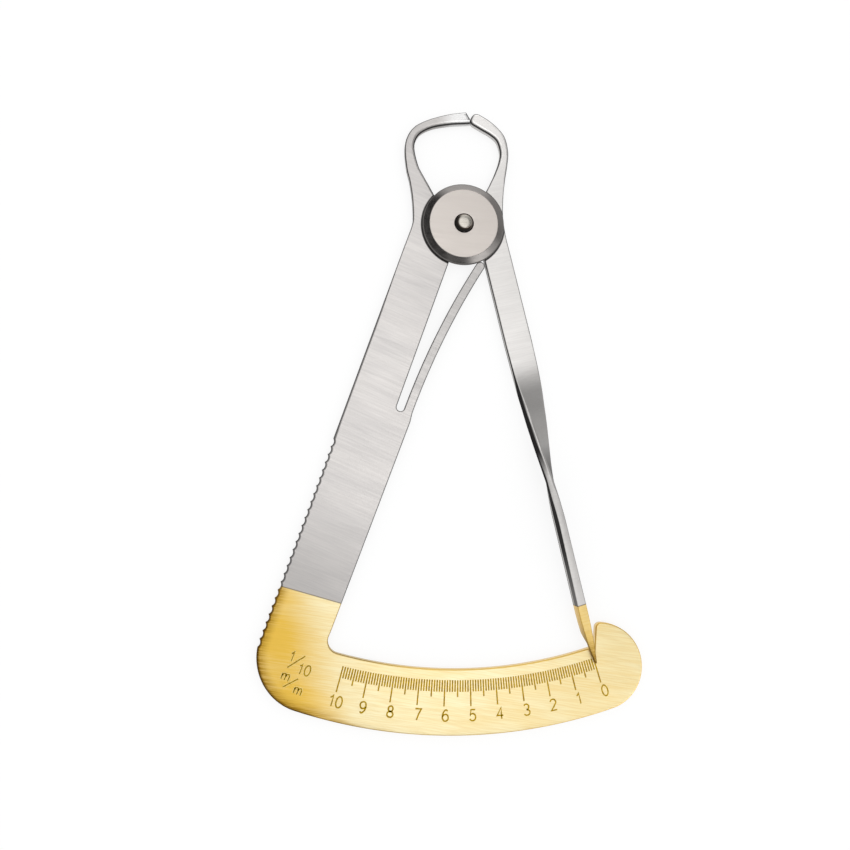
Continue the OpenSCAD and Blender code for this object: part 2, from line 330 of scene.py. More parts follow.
def add_plate(shell: Shell, edge: list[EdgePoint], closed: bool = True) -> list[list[int]]:
    """Adds a flat plate with rounded edges.

    Args:
        shell: Mesh that gets the plate.
        edge: Outline, anticlockwise.
        closed: False leaves the wall open between the last and the first point.

    Returns:
        Rows of point indices from the back face to the front face.
    """
    find_inner(edge, closed)
    rows: list[list[int]] = []
    steps = rounding()
    for front in (False, True):
        levels = [(None, 0.0, 0.0)] + steps
        for inset, lift, wall in (reversed(levels) if front else levels):
            row = []
            for point in edge:
                outer = Vector(point.at)
                inner = Vector(point.inner)
                if inset is None:
                    way = inner - outer
                    flat = inner + way.normalized() * min(HOLD, HOLD_SHARE * way.length)
                else:
                    flat = outer.lerp(inner, inset)
                rise = point.round if point.rise is None else point.rise
                rise = min(rise, RISE_SHARE * PLATE_T)
                z = PLATE_T - rise * lift if front else rise * lift
                row.append(shell.add((flat.x, flat.y, z), wall))
            rows.append(row)
    for lower, upper in zip(rows, rows[1:]):
        shell.add_strip(lower, upper, closed)
    shell.faces.append(tuple(reversed(rows[0])))
    shell.faces.append(tuple(rows[-1]))
    return rows


def revolve(name: str, profile: Sequence[Place], segments: int,
            share: Callable[[float, float], float] = lambda angle, z: 1.0) -> Piece:
    """Turns a profile about the pivot axis.

    Args:
        name: Name of the piece.
        profile: Rows of radius, height and wall mask. A radius of 0 closes the piece on the axis.
        segments: Number of steps round.
        share: Share of the wall mask that a place keeps, from its angle and height.

    Returns:
        The object.
    """
    shell = Shell()
    rows: list[list[int]] = []
    angles = [360 * k / segments for k in range(segments)]
    for radius, z, wall in profile:
        if radius == 0:
            rows.append([shell.add((0, 0, z), wall)] * segments)
            continue
        ring = [(turned((radius, 0), angle), wall * share(angle, z)) for angle in angles]
        rows.append([shell.add((x, y, z), mask) for (x, y), mask in ring])
    on_axis = profile[0][0] == 0
    pairs = zip(rows, rows[1:]) if on_axis else zip(rows, rows[1:] + rows[:1])
    for lower, upper in pairs:
        for k in range(segments):
            j = (k + 1) % segments
            corners = dict.fromkeys((lower[k], lower[j], upper[j], upper[k]))
            shell.faces.append(tuple(corners))
    return shell.build(name)


def cut(piece: Piece, cutters: Sequence[Piece]) -> None:
    """Cuts shapes out of a piece and removes the cutters.

    Args:
        piece: Object that is cut.
        cutters: Closed shapes to take away.
    """
    for cutter in cutters:
        change = piece.modifiers.new("cut", "BOOLEAN")
        change.operation = "DIFFERENCE"
        change.solver = "EXACT"
        change.object = cutter
    graph = bpy.context.evaluated_depsgraph_get()
    mesh = bpy.data.meshes.new_from_object(piece.evaluated_get(graph))
    piece.modifiers.clear()
    mesh.name = piece.name
    piece.data = mesh
    for cutter in cutters:
        bpy.data.objects.remove(cutter)


def turned_cutter(name: str, profile: Sequence[Point], segments: int) -> Piece:
    """Makes a cutter by turning a profile of radius and height about the pivot axis."""
    return revolve(name, [(radius, z, 0) for radius, z in profile], segments)


def finish_piece(piece: Piece, material: Material) -> None:
    """Smooths a piece and gives it its material.

    Args:
        piece: Object to dress.
        material: Its material.
    """
    mesh = piece.data
    mesh.materials.clear()
    mesh.materials.append(material)
    for face in mesh.polygons:
        face.use_smooth = True
    mesh.set_sharp_from_angle(angle=math.radians(SHARP_ANGLE))


def dress_rigid(piece: Piece, material: Material, node: str, body: Body) -> None:
    """Dresses a piece that stands for one node and rides on one body.

    Args:
        piece: Object to dress.
        material: Its material.
        node: The node that it stands for.
        body: The body that carries it.
    """
    finish_piece(piece, material)
    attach(piece, body.value)
    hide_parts(node)


class Graph:
    """Adds and joins nodes in one node tree."""

    def __init__(self, tree: Tree) -> None:
        """Takes the tree to fill."""
        self.tree = tree

    def add(self, kind: str, feeds: Feeds | None = None, **settings: Any) -> bpy.types.Node:
        """Adds a node.

        Args:
            kind: Blender's name of the node's type.
            feeds: Sockets or values for its inputs, by name or index.
            settings: The node's own settings by name.

        Returns:
            The node.
        """
        node = self.tree.nodes.new(kind)
        for key, value in settings.items():
            setattr(node, key, value)
        self.fill(node, feeds or {})
        return node

    def fill(self, node: bpy.types.Node, feeds: Feeds) -> None:
        """Links inputs of a node to other sockets, or sets their values.

        Args:
            node: Node to fill.
            feeds: Sockets or values for its inputs, by name or index.
        """
        for key, value in feeds.items():
            if isinstance(value, Socket):
                self.tree.links.new(value, node.inputs[key])
            else:
                node.inputs[key].default_value = value

    def math(self, operation: str, a: Any, b: Any = 0.0, clamp: bool = False) -> Socket:
        """Adds a math node.

        Args:
            operation: Blender's name of the operation.
            a: First value or socket.
            b: Second value or socket.
            clamp: Whether the result stays between 0 and 1.

        Returns:
            The result's socket.
        """
        return self.add("ShaderNodeMath", {0: a, 1: b}, operation=operation, use_clamp=clamp).outputs[0]

    def sum(self, a: Any, share: Any, b: Any) -> Socket:
        """Adds a share of one value to another.

        Args:
            a: Value or socket that is multiplied.
            share: What it is multiplied by.
            b: Value or socket that is added.

        Returns:
            The result's socket.
        """
        return self.add("ShaderNodeMath", {0: a, 1: share, 2: b}, operation="MULTIPLY_ADD").outputs[0]

    def length(self, a: Any, b: Any) -> Socket:
        """Length of a line that goes a one way and b across."""
        squares = self.math("ADD", self.math("POWER", a, 2.0), self.math("POWER", b, 2.0))
        return self.math("SQRT", squares)

    def step(self, value: Any, ramp: Ramp, unit: float = 1.0) -> Socket:
        """Adds a soft step.

        Args:
            value: Value or socket.
            ramp: The step.
            unit: Size of one unit of the step's limits.

        Returns:
            The result's socket.
        """
        feeds = {"Value": value, "From Min": ramp.low * unit, "From Max": ramp.high * unit,
                 "To Min": ramp.start, "To Max": ramp.end}
        return self.add("ShaderNodeMapRange", feeds, interpolation_type="SMOOTHSTEP").outputs["Result"]

    def step_mm(self, value: Any, ramp: Ramp) -> Socket:
        """Soft step of a place, with limits in millimetres."""
        return self.step(value, ramp, MM)

    def blend(self, share: Any, a: Any, b: Any) -> Socket:
        """Mixes two colours.

        Args:
            share: Share of the second colour.
            a: First colour, or its socket.
            b: Second colour, or its socket.

        Returns:
            The mixed colour's socket.
        """
        first, second = ((*value, 1.0) if isinstance(value, tuple) else value for value in (a, b))
        feeds = {"Factor": share, 6: first, 7: second}
        return self.add("ShaderNodeMix", feeds, data_type="RGBA").outputs[2]

    def mix(self, share: Any, a: Any, b: Any) -> Socket:
        """Mixes two values."""
        return self.math("ADD", a, self.math("MULTIPLY", share, self.math("SUBTRACT", b, a)))

    def rest(self, share: Any) -> Socket:
        """What is left of 1 without a share."""
        return self.math("SUBTRACT", 1.0, share)

    def vector(self, x: Any, y: Any, z: Any) -> Socket:
        """Joins three values or sockets."""
        return self.add("ShaderNodeCombineXYZ", {0: x, 1: y, 2: z}).outputs[0]

    def vector_math(self, operation: str, *vectors: Any) -> Outputs:
        """Adds a vector math node, and gives its outputs."""
        return self.add("ShaderNodeVectorMath", dict(enumerate(vectors)), operation=operation).outputs

    def spot(self) -> Socket:
        """Object coordinates in metres."""
        return self.add("ShaderNodeTexCoord").outputs["Object"]

    def place(self) -> tuple[Socket, ...]:
        """Object coordinates as sockets of x, y and z in metres."""
        return tuple(self.add("ShaderNodeSeparateXYZ", {0: self.spot()}).outputs)


def new_material(name: str) -> tuple[Material, Graph, bpy.types.Node]:
    """Starts a material.

    Args:
        name: Name of the material.

    Returns:
        The material, a graph to fill it with, and its shader.
    """
    made = bpy.data.materials.new(name)
    made.use_nodes = True
    return made, Graph(made.node_tree), made.node_tree.nodes["Principled BSDF"]


def new_group(name: str, inputs: dict[str, float], outputs: Sequence[str]) -> tuple[Tree, Graph]:
    """Starts a shader node group.

    Args:
        name: Name of the group.
        inputs: Names and first values of its inputs.
        outputs: Names of its outputs.

    Returns:
        The group and a graph to fill it with.
    """
    tree = bpy.data.node_groups.new(name, "ShaderNodeTree")
    for key, value in inputs.items():
        socket = tree.interface.new_socket(key, in_out="INPUT", socket_type="NodeSocketFloat")
        socket.default_value = value
    for key in outputs:
        tree.interface.new_socket(key, in_out="OUTPUT", socket_type="NodeSocketFloat")
    return tree, Graph(tree)


def brushed_group() -> Tree:
    """Makes the group of brush lines and soft patches.

    Returns:
        The group. Its sizes are in millimetres along and across the brushing.
    """
    sizes = {"Angle": 0.0, "Line Length": 3.4, "Line Width": 0.13, "Patch Length": 11.0, "Patch Width": 3.4}
    tree, graph = new_group("brushed", sizes, ("Lines", "Streaks", "Patches"))
    given = graph.add("NodeGroupInput").outputs
    result = graph.add("NodeGroupOutput")
    turn = {"Vector": graph.spot(), "Angle": given["Angle"]}
    spot = graph.add("ShaderNodeVectorRotate", turn, rotation_type="Z_AXIS").outputs[0]
    rows = (("Lines", "Line Length", "Line Width", 1.0, 0.0),
            ("Streaks", "Line Length", "Line Width", 2.2, 1.0),
            ("Patches", "Patch Length", "Patch Width", 1.0, 1.0))
    for out, length, width, coarser, detail in rows:
        per_length = graph.math("DIVIDE", 1 / (MM * coarser), given[length])
        per_width = graph.math("DIVIDE", 1 / (MM * coarser), given[width])
        scale = graph.vector(per_length, per_width, per_width)
        vector = graph.vector_math("MULTIPLY", spot, scale)[0]
        noise = graph.add("ShaderNodeTexNoise", {"Vector": vector, "Scale": 1.0, "Detail": detail})
        graph.fill(result, {out: graph.step(noise.outputs["Fac"], NOISE_STEP)})
    return tree


def wall_group() -> Tree:
    """Makes the group that reads the mask of the painted shade on a piece's side walls.

    Returns:
        The group.
    """
    tree, graph = new_group("painted_wall_shade", {"Sharpness": 1.0}, ("Mask",))
    given = graph.add("NodeGroupInput").outputs
    mask = graph.add("ShaderNodeAttribute", attribute_name="wall").outputs["Fac"]
    graph.add("NodeGroupOutput", {"Mask": graph.math("POWER", mask, given["Sharpness"])})
    return tree


@dataclass(frozen=True)
class Tone:
    """Colours of one metal, with the painted shade on its walls.

    Attributes:
        bright: Bright parts of its faces.
        dull: Dull parts of its faces.
        wall: Painted shade on the side walls.
        rim: Deepest painted shade, on the darkest walls and edges.
        jaw: Polished jaw of an arm.
    """

    bright: Color
    dull: Color
    wall: Color
    rim: Color = (0.015, 0.015, 0.015)
    jaw: Color = (0.97, 0.945, 0.925)


STEEL = Tone((0.662, 0.635, 0.615), (0.55, 0.53, 0.52), (0.02, 0.019, 0.019), jaw=(0.98, 0.975, 0.97))
BAR_STEEL = Tone((0.83, 0.81, 0.79), (0.71, 0.69, 0.67), (0.02, 0.019, 0.019))
LEAF_STEEL = Tone((0.6, 0.58, 0.565), (0.46, 0.445, 0.435), (0.05, 0.05, 0.05))
SATIN = Tone((0.66, 0.61, 0.57), (0.65, 0.6, 0.56), (0.21, 0.198, 0.19))
POLISHED = Tone((0.6, 0.57, 0.52), (0.48, 0.45, 0.4), (0.07, 0.05, 0.038))
GOLD = Tone((0.985, 0.885, 0.57), (0.88, 0.565, 0.095), (0.78, 0.48, 0.06), (0.07, 0.032, 0.003))
# Bright gold of the painted highlight rims round the numbers and unit sign.
HIGHLIGHT_GOLD = Tone((0.98, 0.85, 0.46), (0.95, 0.79, 0.38), (0.95, 0.79, 0.38))
ENGRAVED = Tone((0.54, 0.34, 0.012), (0.41, 0.25, 0.008), (0.41, 0.25, 0.008))
BRUSH_GOLD = (0.72, 0.45, 0.06)
EDGE_SHADE_GOLD = (0.33, 0.165, 0.006)
SEAM_BROWN = (0.16, 0.12, 0.07)

# Shares of brush lines, streaks and patches in the dull colour, and of all three on the plating, where
# its painted shade counts as well. Then shares of lines on the plating and on the painted shade of its
# edge.
LINE_SHARE = 0.3
STREAK_SHARE = 0.12
PATCH_SHARE = 0.46
PLATED_SHARE = 0.36
GOLD_SHADE_SHARE = 0.8
GOLD_LINES = 0.14
EDGE_SHADE_LINES = 0.5
EDGE_SHADE_LEAST = 0.6
RIM_MATT = 0.92
BRUSH_STRENGTH = 0.08
BRUSH_DEPTH = 0.02

# Steps of masks: of the brushing, and of the painted shade on walls and edges.
NOISE_STEP = Ramp(0.3, 0.7)
CRISP_WALL = Ramp(0.2, 0.75)
STRONG_WALL = Ramp(0.7, 0.95)
RIM_WALL = Ramp(1.05, 1.5)
EDGE_SHADE_RIM = Ramp(0.7, 1.0, 0.0, 0.85)

# Steps of places, in millimetres: on the steel, on the nib by the distance past the plating's start,
# and on the scale by x, by the distance from the pivot, or by another distance that the name says.
WALL_MIDDLE = Ramp(0.2, 0.5, 0.6, 0.0)
FRONT_FACE = Ramp(0.9 * PLATE_T, 0.99 * PLATE_T)
ON_JAW = Ramp(5, 8)
PAST_ROOT = Ramp(-32, -25)
# Painted shadow line on the arms round the disc's foot.
DISC_SHADOW = Ramp(6.88, 7.02, 0.95, 0.0)
# Painted shade on the nib's gold: over its faces, at its end and on its side walls.
NIB_SHADE = Ramp(0, 9, 0.38, 0.72)
NIB_EDGE_SHADE = Ramp(4.5, 9, 0.0, 0.85)
NIB_WALL_SHADE = Ramp(1, 8, 0.25, 0.95)
# Painted shade on the scale's gold: to the left and right, on its lower left corner and outer arc, and on
# its walls to the left.
SLANT_SHADE = Ramp(-23.5, -14, 1.0, 0.0)
RIGHT_SHADE = Ramp(6, 24, 0.0, 0.12)
LEFT_WALL_SHADE = Ramp(-13, 0, 0.7, 0.1)
CORNER_SHADE = Ramp(6.6, 9.0)
CORNER_LEFT = Ramp(-19, -10, 1.0, 0.0)
ARC_SHADE = Ramp(80.5, 81.8)
ARC_LEFT = Ramp(-18, -2, 0.95, 0.1)
GOLD_START = Ramp(-0.03, 0.03)
SEAM_LINE = Ramp(0.03, 0.12, 0.75, 0.0)

# Places of the plating: where it starts on the nib and across the handle, the left and upper limits of
# the scale, the lean of its painted shade, the middle of the outer corner across and along the handle, and
# how far the line at the plating's start stands before it.
NIB_START = 64.3
SEAM_ENDS = ((-24.09, -60.12), (-15.26, -62.05))
SCALE_LEFT = -13
SCALE_TOP = -60
SLANT_SHARE = 0.35
SLANT_X = 24.5
CORNER_MIDDLE = (0.95, 72.79)
SEAM_BEFORE = 0.04
POLISH_FROM = 2
# Limits of the painted shade at an arm's lower end.
LOW_END = (-62, -44)


@dataclass(frozen=True)
class MetalFinish:
    """A brushed metal.

    Attributes:
        name: Name of the material.
        tone: Its colours.
        plating: Where it is gold plated.
        brush_angle: Lean of the brush lines from +X, in degrees.
        plate_angle: Lean of the brush lines on the plating.
        roughness: Roughness of the face, and how far the lines change it.
        wall_sharpness: How closely the painted shade keeps to the side walls.
        wall_matt: How matt the side walls are.
        wall_gloss: How much smoother than the face the side walls are.
        is_arm: Whether it is an arm, with a brighter polished jaw and a painted shadow line round the
            disc's foot.
        polish_reach: How far from the tips the polish of an arm's jaw reaches.
        low_shade: How much painted shade darkens an arm towards its lower end.
        root_tone: Colours at the root of a leaf, if it grows out of another piece.
    """

    name: str
    tone: Tone
    plating: Plating = Plating.NONE
    brush_angle: float = 0.0
    plate_angle: float = 0.0
    roughness: Point = (0.32, 0.05)
    wall_sharpness: float = 0.45
    wall_matt: float = 0.92
    wall_gloss: float = 0.0
    is_arm: bool = False
    polish_reach: float = 10.0
    low_shade: float = 0.0
    root_tone: Tone | None = None

    def material(self, groups: dict[str, Tree]) -> Material:
        """Makes the material.

        Args:
            groups: Shared node groups by name.

        Returns:
            A new material.
        """
        made, graph, shader = new_material(self.name)
        brush = self.brushed(graph, groups, self.brush_angle)
        wall = self.wall_mask(graph, groups)
        rim = graph.step(wall, RIM_WALL)
        matt = graph.math("MULTIPLY", wall, self.wall_matt)
        color = self.face_color(graph, brush, self.tone)
        if self.is_arm:
            color = self.arm_color(graph, color)
        if self.root_tone:
            away = graph.step_mm(graph.place()[1], PAST_ROOT)
            color = graph.blend(away, self.face_color(graph, brush, self.root_tone), color)
        wall_shade_color: Any = self.tone.wall
        if self.plating is not Plating.NONE:
            gold, seam, gold_shade, edge_shade, gold_wall_shade = self.plated(graph)
            over = self.brushed(graph, groups, self.plate_angle)
            color = graph.blend(gold, color, self.gold_color(graph, over, gold_shade, edge_shade))
            color = graph.blend(seam, color, SEAM_BROWN)
            # Painted shade on the plating's side walls, deepest where its face has painted shade and to the
            # left.
            wall_shade_color = graph.blend(gold, wall_shade_color, graph.blend(gold_wall_shade, GOLD.wall, GOLD.rim))
            shine = graph.math("MULTIPLY", gold, graph.rest(gold_wall_shade))
            matt = graph.math("MULTIPLY", matt, graph.rest(shine))
        # Painted shade on the side walls, deepest on the rim.
        color = graph.blend(rim, graph.blend(wall, color, wall_shade_color), self.tone.rim)
        matt = graph.math("MAXIMUM", matt, graph.math("MULTIPLY", rim, RIM_MATT))
        low, spread = self.roughness
        rough = graph.sum(brush["Streaks"], spread, low)
        if self.wall_gloss:
            rough = graph.sum(graph.math("MINIMUM", wall, 1.0), -self.wall_gloss, rough)
        bump = graph.add("ShaderNodeBump", {"Strength": BRUSH_STRENGTH, "Distance": BRUSH_DEPTH * MM,
                                            "Height": brush["Lines"]})
        metallic = graph.math("SUBTRACT", 1.0, matt, clamp=True)
        graph.fill(shader, {"Base Color": color, "Metallic": metallic, "Roughness": rough,
                            "Specular IOR Level": 0.0, "Normal": bump.outputs["Normal"]})
        return made

    @staticmethod
    def brushed(graph: Graph, groups: dict[str, Tree], angle: float) -> Outputs:
        """Adds the brushed group with lines at an angle from +X, and gives its outputs."""
        turn = {"Angle": math.radians(-angle)}
        return graph.add("ShaderNodeGroup", turn, node_tree=groups["brushed"]).outputs

    def wall_mask(self, graph: Graph, groups: dict[str, Tree]) -> Socket:
        """Mask of the painted shade on the side walls, crisper on a jaw and weaker halfway up a matt wall.

        Args:
            graph: Graph of the material.
            groups: Shared node groups by name.

        Returns:
            The mask's socket.
        """
        sharpness = {"Sharpness": self.wall_sharpness}
        wall = graph.add("ShaderNodeGroup", sharpness, node_tree=groups["painted_wall_shade"]).outputs["Mask"]
        _, y, z = graph.place()
        if self.is_arm:
            crisp = graph.step(graph.math("POWER", wall, 1 / self.wall_sharpness), CRISP_WALL)
            wall = graph.mix(graph.step_mm(y, ON_JAW), wall, crisp)
        if self.wall_matt:
            height = graph.math("ABSOLUTE", graph.math("SUBTRACT", z, PLATE_T / 2 * MM))
            middle = graph.step_mm(height, WALL_MIDDLE)
            lighter = graph.math("MULTIPLY", middle, graph.step(wall, STRONG_WALL))
            wall = graph.math("MULTIPLY", wall, graph.rest(lighter))
        return wall

    @staticmethod
    def face_color(graph: Graph, brush: Outputs, tone: Tone, gold_shade: Any = None) -> Socket:
        """Colour of the flat faces.

        Args:
            graph: Graph of the material.
            brush: Outputs of its brushed group.
            tone: Colours of the metal.
            gold_shade: Share of the dull colour that is painted shade, by place, if it changes over the
                piece.

        Returns:
            The colour's socket.
        """
        lines = graph.math("MULTIPLY", brush["Lines"], LINE_SHARE)
        streaks = graph.sum(brush["Streaks"], STREAK_SHARE, lines)
        share = graph.sum(brush["Patches"], PATCH_SHARE, streaks)
        if gold_shade is not None:
            share = graph.sum(share, PLATED_SHARE, graph.math("MULTIPLY", gold_shade, GOLD_SHADE_SHARE))
        return graph.blend(share, tone.bright, tone.dull)

    def arm_color(self, graph: Graph, color: Socket) -> Socket:
        """Face colour of an arm: brighter on the jaw, with painted shade at the lower end and a painted
        shadow line round the disc.

        Args:
            graph: Graph of the material.
            color: Colour of its faces.

        Returns:
            The colour's socket.
        """
        x, y, z = graph.place()
        from_tip = graph.length(x, graph.math("SUBTRACT", y, JAW_REACH * MM))
        polish = graph.step_mm(from_tip, Ramp(POLISH_FROM, self.polish_reach, 1.0, 0.0))
        color = graph.blend(polish, color, self.tone.jaw)
        # Painted shade, darker towards the arm's lower end.
        low = graph.step_mm(y, Ramp(*LOW_END, self.low_shade, 0.0))
        color = graph.blend(low, color, self.tone.wall)
        # Painted shadow line on the front face round the disc's foot.
        front = graph.step_mm(z, FRONT_FACE)
        foot = graph.math("MULTIPLY", front, graph.step_mm(graph.length(x, y), DISC_SHADOW))
        return graph.blend(foot, color, self.tone.wall)

    def gold_color(self, graph: Graph, over: Outputs, gold_shade: Any, edge_shade: Any) -> Socket:
        """Colour of the plating's faces.

        Args:
            graph: Graph of the material.
            over: Outputs of the plating's brushed group.
            gold_shade: Painted shade of the colour by place.
            edge_shade: Mask of the painted shade on the edge.

        Returns:
            The colour's socket.
        """
        color = self.face_color(graph, over, GOLD, gold_shade)
        color = graph.blend(graph.math("MULTIPLY", over["Lines"], GOLD_LINES), color, BRUSH_GOLD)
        # Painted shade on the plating's edge, with brush lines in it, deepest on its rim.
        lines = graph.sum(over["Lines"], EDGE_SHADE_LINES, EDGE_SHADE_LEAST)
        color = graph.blend(graph.math("MULTIPLY", edge_shade, lines, clamp=True), color, EDGE_SHADE_GOLD)
        return graph.blend(graph.step(edge_shade, EDGE_SHADE_RIM), color, GOLD.rim)

    def plated(self, graph: Graph) -> tuple[Socket, ...]:
        """Masks of the plating.

        Args:
            graph: Graph of the material.

        Returns:
            Gold, the thin line at its end, its painted shade, the painted shade on its edge and the
            painted shade on its side walls.
        """
        x, y, _ = graph.place()
        radius = graph.length(x, y)
        if self.plating is Plating.NIB:
            past = graph.math("SUBTRACT", radius, NIB_START * MM)
            # Painted shade on the nib's gold, by the distance past the plating's start.
            gold_shade, edge_shade, gold_wall_shade = (graph.step_mm(past, ramp) for ramp in (NIB_SHADE, NIB_EDGE_SHADE, NIB_WALL_SHADE))
        else:
            past = self.past_seam(graph, x, y)
            # Painted shade on the scale's gold, deeper to the left along a slant and to the right.
            slant = graph.sum(y, SLANT_SHARE, graph.math("ADD", x, SLANT_X * MM))
            gold_shade = graph.math("MAXIMUM", graph.step_mm(slant, SLANT_SHADE), graph.step_mm(x, RIGHT_SHADE))
            # Painted shade on the gold's outer edge, corner and outer arc.
            edge_shade = self.burnt_edge(graph, x, y)
            # Painted shade on the gold's side walls, deeper to the left.
            gold_wall_shade = graph.math("MAXIMUM", gold_shade, graph.step_mm(x, LEFT_WALL_SHADE))
        gold = graph.step_mm(past, GOLD_START)
        off = graph.math("ABSOLUTE", graph.math("ADD", past, SEAM_BEFORE * MM))
        return gold, graph.step_mm(off, SEAM_LINE), gold_shade, edge_shade, gold_wall_shade

    @staticmethod
    def past_seam(graph: Graph, x: Socket, y: Socket) -> Socket:
        """Distance past the start of the plating on the handle.

        Args:
            graph: Graph of the material.
            x: Place across.
            y: Place along.

        Returns:
            Distance below the line across the handle, above 0 on the whole scale.
        """
        start, end = (Vector(point) for point in SEAM_ENDS)
        way = (end - start).normalized()
        down = Vector((way.y, -way.x))
        far = graph.sum(x, down.x, graph.math("MULTIPLY", y, down.y))
        on_line = graph.math("SUBTRACT", far, start.dot(down) * MM)
        from_left = graph.math("SUBTRACT", x, SCALE_LEFT * MM)
        on_scale = graph.math("MINIMUM", from_left, graph.math("SUBTRACT", SCALE_TOP * MM, y))
        return graph.math("MAXIMUM", on_line, on_scale)

    @staticmethod
    def burnt_edge(graph: Graph, x: Socket, y: Socket) -> Socket:
        """Mask of painted shade on the gold at the handle's outer edge, its corner and the start of the
        outer arc.

        Args:
            graph: Graph of the material.
            x: Place across.
            y: Place along.

        Returns:
            The mask's socket.
        """
        c, s = on_handle(1, 0)
        middle_across, middle_down = CORNER_MIDDLE
        across = graph.sum(x, c, graph.math("MULTIPLY", y, s))
        down = graph.sum(x, s, graph.math("MULTIPLY", y, -c))
        side = graph.math("MINIMUM", graph.math("SUBTRACT", across, middle_across * MM), 0.0)
        below = graph.math("MAXIMUM", graph.math("SUBTRACT", down, middle_down * MM), 0.0)
        from_corner = graph.length(graph.math("ABSOLUTE", side), below)
        on_left = graph.step_mm(x, CORNER_LEFT)
        corner = graph.math("MULTIPLY", graph.step_mm(from_corner, CORNER_SHADE), on_left)
        outer_arc = graph.step_mm(graph.length(x, y), ARC_SHADE)
        return graph.math("MAXIMUM", corner, graph.math("MULTIPLY", outer_arc, graph.step_mm(x, ARC_LEFT)))


@dataclass
class Jaw:
    """A bowed jaw.

    Attributes:
        stations: Rows of x, y and width along its middle line, from the root.
        rounds: Rounding of its inner edges at the same places.
        outer_sign: Which side is the outer one: 1 for the right of the way to the tip.
        outer_share: Rounding of its outer edges as a share of the inner one.
        steps: Steps between stations.
        probe: How far before and behind a place its way is taken.
        waist_u: Place from which its sides are the arm's edge. The waist is before it.
    """

    stations: list[tuple[float, float, float]]
    rounds: list[float]
    outer_sign: float
    outer_share: float
    steps: int = 8
    probe: float = 0.02
    waist_u: float = 2.0

    def side(self, u: float, sign: float) -> EdgePoint:
        """Edge point at u on one side.

        Args:
            u: Place along the jaw, from 0 at its root.
            sign: 1 for the right of the way to the tip, -1 for the left.

        Returns:
            The edge point, with its rounding.
        """
        last = len(self.stations) - 1
        x, y, width = spline(self.stations, u)
        ahead = Vector(spline(self.stations, min(u + self.probe, last))[:2])
        behind = Vector(spline(self.stations, max(u - self.probe, 0))[:2])
        way = (ahead - behind).normalized()
        out = Vector((way.y, -way.x)) * sign
        radius = spline([[r] for r in self.rounds], u)[0]
        if sign == self.outer_sign:
            radius = mix(radius, max(radius * self.outer_share, EDGE_ROUND), smooth(u - 1))
        at = Vector((x, y)) + out * width / 2
        return EdgePoint(tuple(at), radius, tuple(at - out * radius))

    def run(self, start: float, end: float, sign: float) -> list[EdgePoint]:
        """Edge points of one side between two places."""
        count = max(round(abs(end - start) * self.steps), 1)
        return [self.side(mix(start, end, k / count), sign) for k in range(count + 1)]


